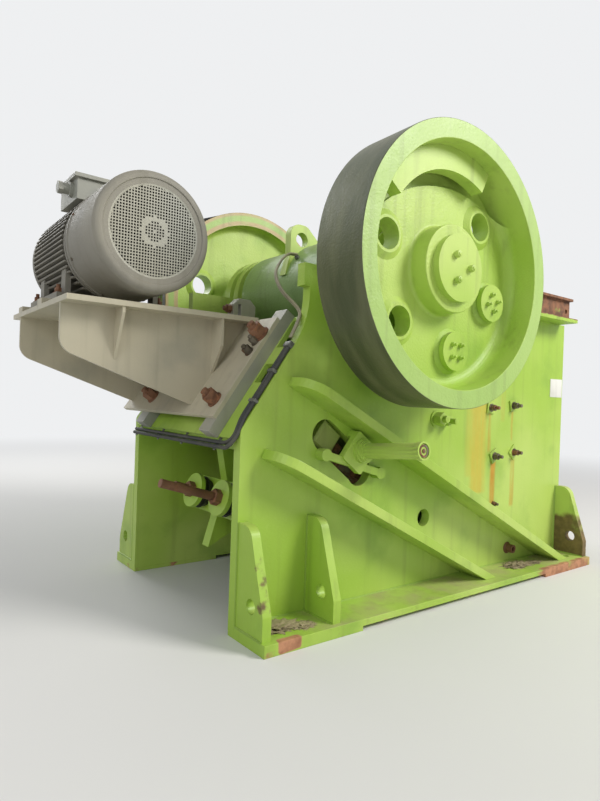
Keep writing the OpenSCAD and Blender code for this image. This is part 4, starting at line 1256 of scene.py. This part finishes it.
@dataclass(frozen=True)
class Studio:
    """Pale floor, pale surroundings and soft lamps."""

    backdrop: Color = (0.86, 0.87, 0.88)
    ambient: float = 0.41
    floor_radius: float = 90.0
    floor_pale: Color = (0.72, 0.72, 0.71)
    floor_dull: Color = (0.6, 0.6, 0.6)
    fade: Pair = (3.2, 13.0)
    lamps: tuple[Lamp, ...] = (
        Lamp("key_lamp", (4.2, -7.5, 7.0), (0.0, 0.0, 1.0), 4.0, 900.0, (1.0, 0.97, 0.92)),
        Lamp("fill_lamp", (-8.0, -4.0, 4.5), (-0.8, 0.0, 1.2), 5.0, 150.0, (0.94, 0.97, 1.0)),
        Lamp("back_lamp", (-1.0, 8.0, 6.0), (0.0, 0.0, 1.2), 5.0, 340.0),
    )

    def world(self) -> None:
        """Pale backdrop for camera and gloss, plain grey light for the rest."""
        world = bpy.data.worlds.new("studio")
        nodes = Nodes(world)
        camera = nodes.signal("ShaderNodeLightPath", output="Is Camera Ray")
        gloss = nodes.signal("ShaderNodeLightPath", output="Is Glossy Ray")
        light, shown = (
            nodes.signal("ShaderNodeBackground", inputs={"Color": color, "Strength": strength})
            for color, strength in (((1.0, 1.0, 1.0), self.ambient), (self.backdrop, 1.0))
        )
        share = camera.larger(gloss)
        both = nodes.signal("ShaderNodeMixShader", inputs={0: share, 1: light, 2: shown})
        nodes.node("ShaderNodeOutputWorld", inputs={"Surface": both})
        bpy.context.scene.world = world

    def floor(self) -> None:
        """A wide floor that fades into the backdrop."""
        mesh = bmesh.new()
        bmesh.ops.create_circle(mesh, cap_ends=True, segments=96, radius=self.floor_radius)
        data = bpy.data.meshes.new("studio_floor")
        mesh.to_mesh(data)
        mesh.free()
        g = Graph("studio_floor")
        tone = g.mix(g.noise(2.0, 5.0) * 0.1, self.floor_pale, self.floor_dull)
        matt = g.signal("ShaderNodeBsdfDiffuse", inputs={"Color": tone})
        far = g.signal("ShaderNodeEmission", inputs={"Color": self.backdrop, "Strength": 1.0})
        distance = (g.x * g.x + g.y * g.y) ** 0.5
        seen = g.signal("ShaderNodeLightPath", output="Is Camera Ray")
        share = distance.step(*self.fade) * seen
        both = g.signal("ShaderNodeMixShader", inputs={0: share, 1: matt, 2: far})
        g.node("ShaderNodeOutputMaterial", inputs={"Surface": both})
        data.materials.append(g.material)
        floor = bpy.data.objects.new("studio_floor", data)
        bpy.context.scene.collection.objects.link(floor)

    def build(self) -> None:
        """Makes floor, surroundings and lamps."""
        self.world()
        self.floor()
        for lamp in self.lamps:
            lamp.build()
        bpy.context.scene.view_settings.view_transform = "Standard"


def main() -> None:
    """Dresses the machine and lights it."""
    logging.basicConfig(level=logging.INFO, format="%(message)s")
    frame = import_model()
    PhotoCamera().build()
    Studio().build()
    slots = {s["node"]: s["material_slot"] for s in frame["record"]["subparts"]}
    Machine(Palette(), frame["nodes"]).dress(slots)
    LOG.info("dressed %d nodes", len(frame["nodes"]))


if __name__ == "__main__":
    main()
